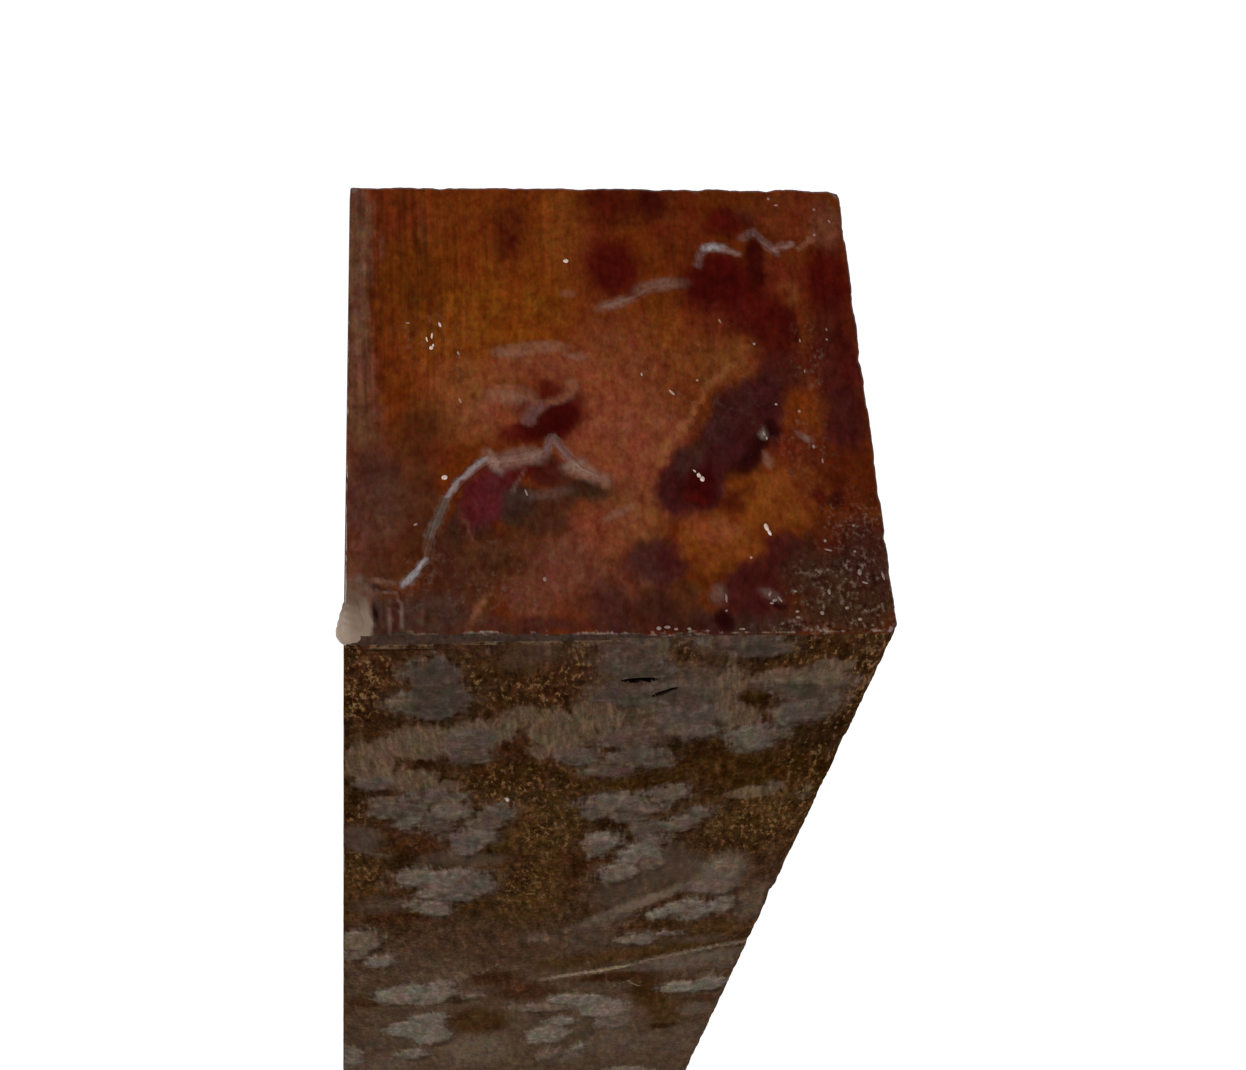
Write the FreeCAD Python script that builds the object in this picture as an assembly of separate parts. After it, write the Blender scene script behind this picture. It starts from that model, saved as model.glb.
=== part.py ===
"""A square-sawn wood turning blank with clear wax that has run over its head end.

Millimetres, +Z up. The blank stands on its foot end, and the origin is the centre of
that end. The front faces -Y, and the head end is the upper one.
"""

import FreeCAD
import Part

import math
import os

from FreeCAD import Placement, Rotation, Vector

# The sawn block
WIDTH = 50.8  # across the front face, a nominal 2 inches
DEPTH = 50.8  # from the front face to the back face
LENGTH = 152.4  # the longest corner, a nominal 6 inches
SIDE_LEAN = 0.9  # how far the left side runs inwards by the time it meets the back
HEAD_RISE = 0.7  # how much the head end climbs from the left side to the right

# Long arrises, front left, front right, back right and back left
FRONT_LEFT_EASE = 0.3
FRONT_RIGHT_EASE = 0.9
BACK_RIGHT_EASE = 1.0
BACK_LEFT_EASE = 0.3

# The front arris of the head end, broken at the left corner and sharp further on
BROKEN_LEG = 0.7  # on both faces, at the left corner
BROKEN_RUN = 37.0  # where the broken arris has tapered to nothing

# Chips out of the long arris at the front right: depth, length, distance below the head
CHIPS = ((0.35, 3.6, 26.0), (0.55, 6.0, 71.5))

# Drying splits that open on the front face
SPLIT_DEPTH = 2.2
UPPER_SPLIT_LENGTH = 3.6
UPPER_SPLIT_GAPE = 0.9
UPPER_SPLIT_PLACE = (27.9, 9.2)  # right of the left arris, below the head
UPPER_SPLIT_TILT = 3.0  # degrees, its right end higher
LOWER_SPLIT_LENGTH = 3.1
LOWER_SPLIT_GAPE = 0.6
LOWER_SPLIT_PLACE = (30.6, 12.0)
LOWER_SPLIT_TILT = 42.0

# Wax runs on the head end
RUN_WIDTH = 1.0
RUN_HEIGHT = 0.35
RUN_BEND_SHARE = 0.45  # how much of the shorter leg a bend may take up

# Routes of the runs, from the front left corner: to the right, towards the back
LONG_RUN = (
    (1.4, 3.9),
    (2.9, 4.8),
    (5.0, 5.0),
    (6.3, 6.4),
    (7.5, 8.2),
    (8.5, 10.8),
    (9.4, 13.5),
    (10.4, 15.5),
    (12.0, 17.8),
    (13.7, 19.3),
    (15.5, 18.7),
    (17.4, 19.5),
    (19.4, 21.3),
    (20.8, 19.1),
    (22.4, 17.8),
    (24.8, 16.6),
)
MIDDLE_RUN = ((25.6, 36.1), (27.4, 36.8), (28.9, 37.4), (30.4, 38.5), (32.9, 38.8))
ARCHED_RUN = ((34.6, 40.8), (35.6, 42.6), (37.2, 43.5), (39.6, 43.1))
CORNER_RUN = ((40.8, 45.2), (42.3, 43.8), (43.7, 42.6), (45.2, 43.4), (46.6, 43.2), (47.8, 44.8))

# The thick drop of wax that clings over the left arris of the head, fullest near the front
DROP_RADIUS = 1.6
DROP_PLACE = (0.85, 1.75)  # its fullest section, from the left side and from the front face
DROP_SINK = 1.05  # how far its axis lies below the head
DROP_BACK_LENGTH = 3.5  # from its fullest section to its long back end

PARTS_FOLDER = "parts"
HALF_SPACE = 4.0 * max(WIDTH, DEPTH, LENGTH)


def head_placement():
    """Places a shape drawn on a level head: x to the right, y to the back, z out of the end."""
    slope = math.degrees(math.atan2(HEAD_RISE, WIDTH))
    corner = Vector(-WIDTH / 2, -DEPTH / 2, LENGTH - HEAD_RISE)
    return Placement(corner, Rotation(Vector(0, 1, 0), -slope))


def shave(solid, point, outwards):
    """Cuts away all of a solid that lies beyond a plane."""
    cutter = Part.makeBox(HALF_SPACE, HALF_SPACE, HALF_SPACE)
    cutter.translate(Vector(-HALF_SPACE / 2, -HALF_SPACE / 2, 0))
    cutter.Placement = Placement(point, Rotation(Vector(0, 0, 1), outwards)).multiply(cutter.Placement)
    return solid.cut(cutter)


def sawn_prism():
    """The four sawn sides, with each long arris eased by its own radius."""
    corners = {
        "front_left": (Vector(-WIDTH / 2, -DEPTH / 2, 0), FRONT_LEFT_EASE),
        "front_right": (Vector(WIDTH / 2, -DEPTH / 2, 0), FRONT_RIGHT_EASE),
        "back_right": (Vector(WIDTH / 2, DEPTH / 2, 0), BACK_RIGHT_EASE),
        "back_left": (Vector(-WIDTH / 2 + SIDE_LEAN, DEPTH / 2, 0), BACK_LEFT_EASE),
    }
    outline = [place for place, _ in corners.values()]
    foot = Part.Face(Part.makePolygon(outline + outline[:1]))
    prism = foot.extrude(Vector(0, 0, LENGTH))
    for place, radius in corners.values():
        middle = place + Vector(0, 0, LENGTH / 2)
        arris = min(prism.Edges, key=lambda edge: edge.distToShape(Part.Vertex(middle))[0])
        prism = prism.makeFillet(radius, [arris])
    return prism


def cut_head(block):
    """Crosscuts the head end at its slope, then breaks the left of its front arris."""
    head = head_placement()
    block = shave(block, head.Base, head.Rotation.multVec(Vector(0, 0, 1)))
    on_head = Vector(0, BROKEN_LEG, 0)
    on_front = Vector(0, 0, -BROKEN_LEG)
    on_arris = Vector(BROKEN_RUN, 0, 0)
    outwards = (on_head - on_arris).cross(on_front - on_arris)
    return shave(block, head.multVec(on_arris), head.Rotation.multVec(outwards))


def chip(depth, length, below_head):
    """The bite that a chip takes out of the front right arris, as a ball that dips into it."""
    radius = (length / 2) ** 2 / (2 * depth) + depth / 2
    diagonal = Vector(1, -1, 0).normalize()
    inset = FRONT_RIGHT_EASE * (math.sqrt(2) - 1)
    arris = Vector(WIDTH / 2, -DEPTH / 2, LENGTH - below_head)
    return Part.makeSphere(radius, arris + diagonal * (radius - depth - inset))


def split(length, gape, place, tilt):
    """The lens-shaped gap of a drying split, sunk straight into the front face."""
    left = Vector(-length / 2, 0, 0)
    right = Vector(length / 2, 0, 0)
    upper_lip = Part.Arc(left, Vector(0, 0, gape / 2), right).toShape()
    lower_lip = Part.Arc(right, Vector(0, 0, -gape / 2), left).toShape()
    gap = Part.Face(Part.Wire([upper_lip, lower_lip])).extrude(Vector(0, 2 * SPLIT_DEPTH, 0))
    across, below_head = place
    middle = Vector(across - WIDTH / 2, -DEPTH / 2 - SPLIT_DEPTH, LENGTH - HEAD_RISE - below_head)
    gap.Placement = Placement(middle, Rotation(Vector(0, 1, 0), -tilt))
    return gap


def burl_blank():
    """The wood: one sawn block with its cut head, its chipped arris and its splits."""
    block = cut_head(sawn_prism())
    flaws = [chip(*sizes) for sizes in CHIPS]
    flaws.append(split(UPPER_SPLIT_LENGTH, UPPER_SPLIT_GAPE, UPPER_SPLIT_PLACE, UPPER_SPLIT_TILT))
    flaws.append(split(LOWER_SPLIT_LENGTH, LOWER_SPLIT_GAPE, LOWER_SPLIT_PLACE, LOWER_SPLIT_TILT))
    return block.cut(flaws).Solids[0]


def rounded_route(points):
    """A wire through the points, straight between them and with a tangent arc at each bend."""
    edges = []
    reached = points[0]
    for before, bend, after in zip(points, points[1:], points[2:]):
        towards = (before - bend).normalize()
        onwards = (after - bend).normalize()
        turn = math.pi - towards.getAngle(onwards)
        setback = RUN_BEND_SHARE * min(before.distanceToPoint(bend), after.distanceToPoint(bend))
        radius = setback / math.tan(turn / 2)
        start = bend + towards * setback
        end = bend + onwards * setback
        inwards = (towards + onwards).normalize()
        middle = bend + inwards * (radius / math.cos(turn / 2) - radius)
        edges.append(Part.LineSegment(reached, start).toShape())
        edges.append(Part.Arc(start, middle, end).toShape())
        reached = end
    edges.append(Part.LineSegment(reached, points[-1]).toShape())
    return Part.Wire(edges)


def run_section(place, along):
    """The low rounded section of a run, standing on the head and square to its route."""
    across = Vector(-along.y, along.x, 0).normalize() * (RUN_WIDTH / 2)
    crest = Part.Arc(place - across, place + Vector(0, 0, RUN_HEIGHT), place + across).toShape()
    base = Part.LineSegment(place + across, place - across).toShape()
    return Part.Wire([crest, base])


def run_end(place, along):
    """The domed end of a run: half of its section turned half a turn about its crest."""
    side = Vector(-along.y, along.x, 0).normalize() * (RUN_WIDTH / 2)
    crest = place + Vector(0, 0, RUN_HEIGHT)
    radius = ((RUN_WIDTH / 2) ** 2 + RUN_HEIGHT**2) / (2 * RUN_HEIGHT)
    half_angle = math.asin(RUN_WIDTH / 2 / radius) / 2
    shoulder = crest - Vector(0, 0, radius * (1 - math.cos(half_angle)))
    shoulder += side.normalize() * (radius * math.sin(half_angle))
    foot = place + side.normalize() * (RUN_WIDTH / 2)
    outline = [
        Part.Arc(crest, shoulder, foot).toShape(),
        Part.LineSegment(foot, place).toShape(),
        Part.LineSegment(place, crest).toShape(),
    ]
    return Part.Face(Part.Wire(outline)).revolve(place, Vector(0, 0, 1), 360)


def wax_run(route):
    """One run of wax on a level head: a bead along its route with a domed end at each side."""
    points = [Vector(across, back, 0) for across, back in route]
    first = points[1] - points[0]
    last = points[-1] - points[-2]
    bead = rounded_route(points).makePipeShell([run_section(points[0], first)], True, False)
    return bead.fuse([run_end(points[0], first), run_end(points[-1], last)]).removeSplitter()


def wax_drop():
    """The egg-shaped drop on a level head, blunt end to the front, still solid inside."""
    blunt_end = Part.Circle(Vector(), Vector(0, 0, 1), DROP_RADIUS).toShape(math.pi / 2, math.pi)
    long_end = Part.Ellipse(Vector(), DROP_BACK_LENGTH, DROP_RADIUS).toShape(0, math.pi / 2)
    axis = Part.LineSegment(Vector(-DROP_RADIUS, 0, 0), Vector(DROP_BACK_LENGTH, 0, 0)).toShape()
    profile = Part.Face(Part.Wire([long_end, blunt_end, axis]))
    drop = profile.revolve(Vector(), Vector(1, 0, 0), 360)
    across, back = DROP_PLACE
    drop.Placement = Placement(Vector(across, back, -DROP_SINK), Rotation(Vector(0, 0, 1), 90))
    return drop


def wax_runs(wood):
    """All the wax on the head, seated on the wood: the drop with its long run, and three short runs."""
    clinging = wax_drop().fuse(wax_run(LONG_RUN))
    pieces = [clinging] + [wax_run(route) for route in (MIDDLE_RUN, ARCHED_RUN, CORNER_RUN)]
    seated = []
    for piece in pieces:
        piece.Placement = head_placement().multiply(piece.Placement)
        seated.extend(piece.cut(wood).Solids)
    return Part.makeCompound(seated)


def main():
    """Builds the wood and the wax, and writes one STEP file for each."""
    os.makedirs(PARTS_FOLDER, exist_ok=True)
    wood = burl_blank()
    nodes = {"burl_blank": wood, "wax_runs": wax_runs(wood)}
    for name, shape in nodes.items():
        shape.exportStep(os.path.join(PARTS_FOLDER, name + ".step"))
        volumes = ", ".join(f"{solid.Volume:.2f}" for solid in shape.Solids)
        print(f"{name}: {len(shape.Solids)} solid(s), valid {shape.isValid()}, volumes {volumes} mm3")


main()
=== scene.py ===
"""The looks of a wood turning blank: its burl figure, its clear wax and a plain studio.

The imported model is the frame, in metres, with +Z up and the front facing -Y. The block
and the wax are modelled again at the size of their solids, finely enough to carry saw
marks, chips and wax that has run. Lengths below are in millimetres unless a name says so.
"""

import logging
import math
from dataclasses import dataclass
from enum import Enum
from itertools import product
from typing import Callable, Iterable, Optional

import bmesh
import bpy
import numpy as np
from mathutils import Matrix, Quaternion, Vector, noise


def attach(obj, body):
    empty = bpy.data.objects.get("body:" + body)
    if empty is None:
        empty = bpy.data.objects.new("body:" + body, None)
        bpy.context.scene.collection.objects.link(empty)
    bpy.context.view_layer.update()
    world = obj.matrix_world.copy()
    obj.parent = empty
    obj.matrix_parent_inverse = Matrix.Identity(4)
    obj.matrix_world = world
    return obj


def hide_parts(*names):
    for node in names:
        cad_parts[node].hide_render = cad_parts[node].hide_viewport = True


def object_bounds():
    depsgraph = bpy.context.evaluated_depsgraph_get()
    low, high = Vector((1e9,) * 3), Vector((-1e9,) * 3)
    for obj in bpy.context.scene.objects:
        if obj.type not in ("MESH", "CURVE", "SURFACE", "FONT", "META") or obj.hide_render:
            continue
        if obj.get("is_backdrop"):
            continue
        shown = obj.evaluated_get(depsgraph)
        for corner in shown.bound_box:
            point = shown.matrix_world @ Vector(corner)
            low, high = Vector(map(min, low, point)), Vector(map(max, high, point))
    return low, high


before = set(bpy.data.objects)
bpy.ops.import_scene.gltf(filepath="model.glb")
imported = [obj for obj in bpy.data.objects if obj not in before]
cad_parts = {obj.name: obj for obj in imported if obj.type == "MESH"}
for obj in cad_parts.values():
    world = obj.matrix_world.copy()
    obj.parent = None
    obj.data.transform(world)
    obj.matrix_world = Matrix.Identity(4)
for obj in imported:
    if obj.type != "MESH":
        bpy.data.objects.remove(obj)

log = logging.getLogger("turning_blank")

MM = 0.001  # metres in a millimetre

Array = np.ndarray
Tree = bpy.types.NodeTree
Feed = bpy.types.Node | bpy.types.NodeSocket
Noises = dict[str, Feed]
Colour = tuple[float, float, float, float]
Triple = tuple[float, float, float]
Span = tuple[float, float]
Route = tuple[Span, ...]
Swings = tuple[tuple[str, float, float], ...]
Grains = tuple[tuple[str, Triple, float], ...]
Tints = tuple[tuple[Triple, tuple[Triple, Triple]], ...]

# The block's own sizes, as its solid has them
WIDTH = 50.8
DEPTH = 50.8
LENGTH = 152.4
SIDE_LEAN = 0.9
HEAD_RISE = 0.7

# The sRGB curve: where its straight foot ends and how steep that is, then its lift and power
KNEE, STEEPNESS = 0.04045, 12.92
LIFT, POWER = 0.055, 2.4

# How far one seed's noise lies from the next one's
SEED_STEPS = (17.3, 5.9, 9.7)


def linear(code: str) -> Colour:
    """Turns an sRGB hex colour into the linear one that Blender mixes.

    Args:
        code: The colour as "#rrggbb".

    Returns:
        Red, green, blue and an alpha of 1.
    """
    channels = [int(code[place : place + 2], 16) / 255 for place in (1, 3, 5)]
    curved = [c / STEEPNESS if c <= KNEE else ((c + LIFT) / (1 + LIFT)) ** POWER for c in channels]
    return (*curved, 1.0)


def head_height(across: Array) -> Array:
    """Height of the sloping head end at a distance from the left side."""
    return LENGTH - HEAD_RISE + HEAD_RISE * across / WIDTH


def ripple(points: Array, size: float, seed: float) -> Array:
    """Smooth noise over points.

    Args:
        points: One row of coordinates per point.
        size: Width of a swell, in the points' own unit.
        seed: Any number; each gives another pattern.

    Returns:
        One value from -1 to 1 per point.
    """
    shift = Vector([step * seed for step in SEED_STEPS])
    return np.array([noise.noise(Vector(point) / size + shift) for point in points])


def smooth(value: Array, low: float, high: float) -> Array:
    """Rises from 0 at low to 1 at high, with level ends."""
    share = np.clip((value - low) / (high - low), 0, 1)
    return share * share * (3 - 2 * share)


class Side(Enum):
    """The faces of the block, by where they look."""

    FRONT = "front"
    RIGHT = "right"
    BACK = "back"
    LEFT = "left"
    HEAD = "head"
    FOOT = "foot"


class Stain(Enum):
    """Colours of the burl as the wax shows them, and of the wax where it is milky. The bluish and the white
    wax tones also stand for painted highlights, and the pale ground for a painted sheen.
    """

    AMBER = "#6a2e0a"
    DEEP_AMBER = "#5a2406"
    GOLD_AMBER = "#70380a"
    BRIGHT_AMBER = "#743a12"
    OLIVE_AMBER = "#502604"
    OCHRE = "#7e4a28"
    ORANGE = "#703818"
    PINK_ORANGE = "#7a3e26"
    RUST = "#612812"
    RED_RUST = "#5a1f0d"
    DARK_RUST = "#491806"
    BURGUNDY = "#430905"
    DEEP_BURGUNDY = "#330503"
    RED = "#50191a"
    OXBLOOD = "#470c07"
    PLUM = "#3a1413"
    PINK_PLUM = "#42201a"
    GREY_PLUM = "#3c2019"
    RED_PLUM = "#3e1410"
    DARK_PLUM = "#220505"
    LEFT_PLUM = "#4f2e22"
    DUSK_PLUM = "#371b14"
    PINK_BROWN = "#633626"
    BROWN = "#482614"
    DARK_BROWN = "#412a20"
    GREY_BROWN = "#5c3b29"
    UMBER = "#382013"
    MOSS = "#34221a"
    OLIVE_BROWN = "#41200d"
    GROUND = "#38220f"
    OLIVE = "#321d06"
    RED_GROUND = "#361c0c"
    DARK_GROUND = "#281708"
    STREAK_BROWN = "#402a12"
    WARM_BROWN = "#3e281a"
    HAZE_BROWN = "#46362b"
    LIGHT_HAZE = "#54453a"
    PALE_HAZE = "#605143"
    # Pale ground, which on the front face's lower half is also a painted sheen
    PALE_GROUND = "#514032"
    TAN = "#584637"
    GREY_1 = "#40352d"
    GREY_2 = "#4b3f37"
    GREY_3 = "#554940"
    GREY_4 = "#60544a"
    GREY_5 = "#665c51"
    MAUVE_1 = "#47382f"
    MAUVE_2 = "#4c3d34"
    MAUVE_3 = "#594b41"
    TAN_1 = "#564639"
    TAN_2 = "#5f5042"
    BLACK = "#080302"
    WAX_BEIGE = "#84705f"
    WAX_SHADE = "#5f4839"
    WAX_GREY = "#87776b"
    WAX_DIM = "#56483f"
    # Bluish white: a painted highlight on the milky wax
    WAX_BLUE = "#a9a9ad"
    WAX_PINK = "#8c6c62"
    WAX_MAUVE = "#6c5251"
    WAX_ORANGE = "#965e42"
    WAX_CREAM = "#968575"
    # White of wax, and of the painted glints on the beads
    WAX_WHITE = "#e6cfc2"


@dataclass(frozen=True)
class Patch:
    """A soft-edged oval of one colour on a face.

    The place is across from the left of the face, and along it: from the front arris on
    an end, and down from the head on a side. The lean turns the oval, in degrees.
    """

    across: float
    along: float
    half_across: float
    half_along: float
    lean: float
    tone: Stain
    weight: float = 1.0
    soft: float = 0.5

    def reach(self, across: Array, along: Array) -> Array:
        """How far points lie from the middle, where 1 is the oval's edge."""
        turn = math.radians(self.lean)
        over = across - self.across
        down = along - self.along
        first = (over * math.cos(turn) + down * math.sin(turn)) / self.half_across
        second = (down * math.cos(turn) - over * math.sin(turn)) / self.half_along
        return np.hypot(first, second)

    def cover(self, across: Array, along: Array) -> Array:
        """How much of the colour lies on each point, from 0 to the patch's weight."""
        return self.weight * (1 - smooth(self.reach(across, along), 1 - self.soft, 1 + self.soft))

    def inside(self, across: Array, along: Array) -> Array:
        """How far points lie inside the oval, in about millimetres, and below 0 outside."""
        return (1 - self.reach(across, along)) * min(self.half_across, self.half_along)


def ovals(*rows: tuple, **shared: float) -> list[Patch]:
    """One patch per row, which gives its fields in order, with the fields that all share."""
    return [Patch(*row, **shared) for row in rows]


def ovals_in(tone: Stain, *rows: tuple) -> list[Patch]:
    """Patches of one tone, whose rows leave it out."""
    return [Patch(*row[:5], tone, *row[5:]) for row in rows]


def painted(base: Stain, patches: Iterable[Patch], across: Array, along: Array) -> Array:
    """Lays patches over a base colour, one on another.

    Args:
        base: The colour below them all.
        patches: The patches, the lowest first.
        across: Each point's distance from the left.
        along: Each point's distance along the face.

    Returns:
        One row of red, green, blue and alpha per point.
    """
    colours = np.tile(np.array(linear(base.value)), (len(across), 1))
    for patch in patches:
        share = np.minimum(patch.cover(across, along), 1)[:, None]
        colours = colours * (1 - share) + np.array(linear(patch.tone.value)) * share
    return colours


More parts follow.
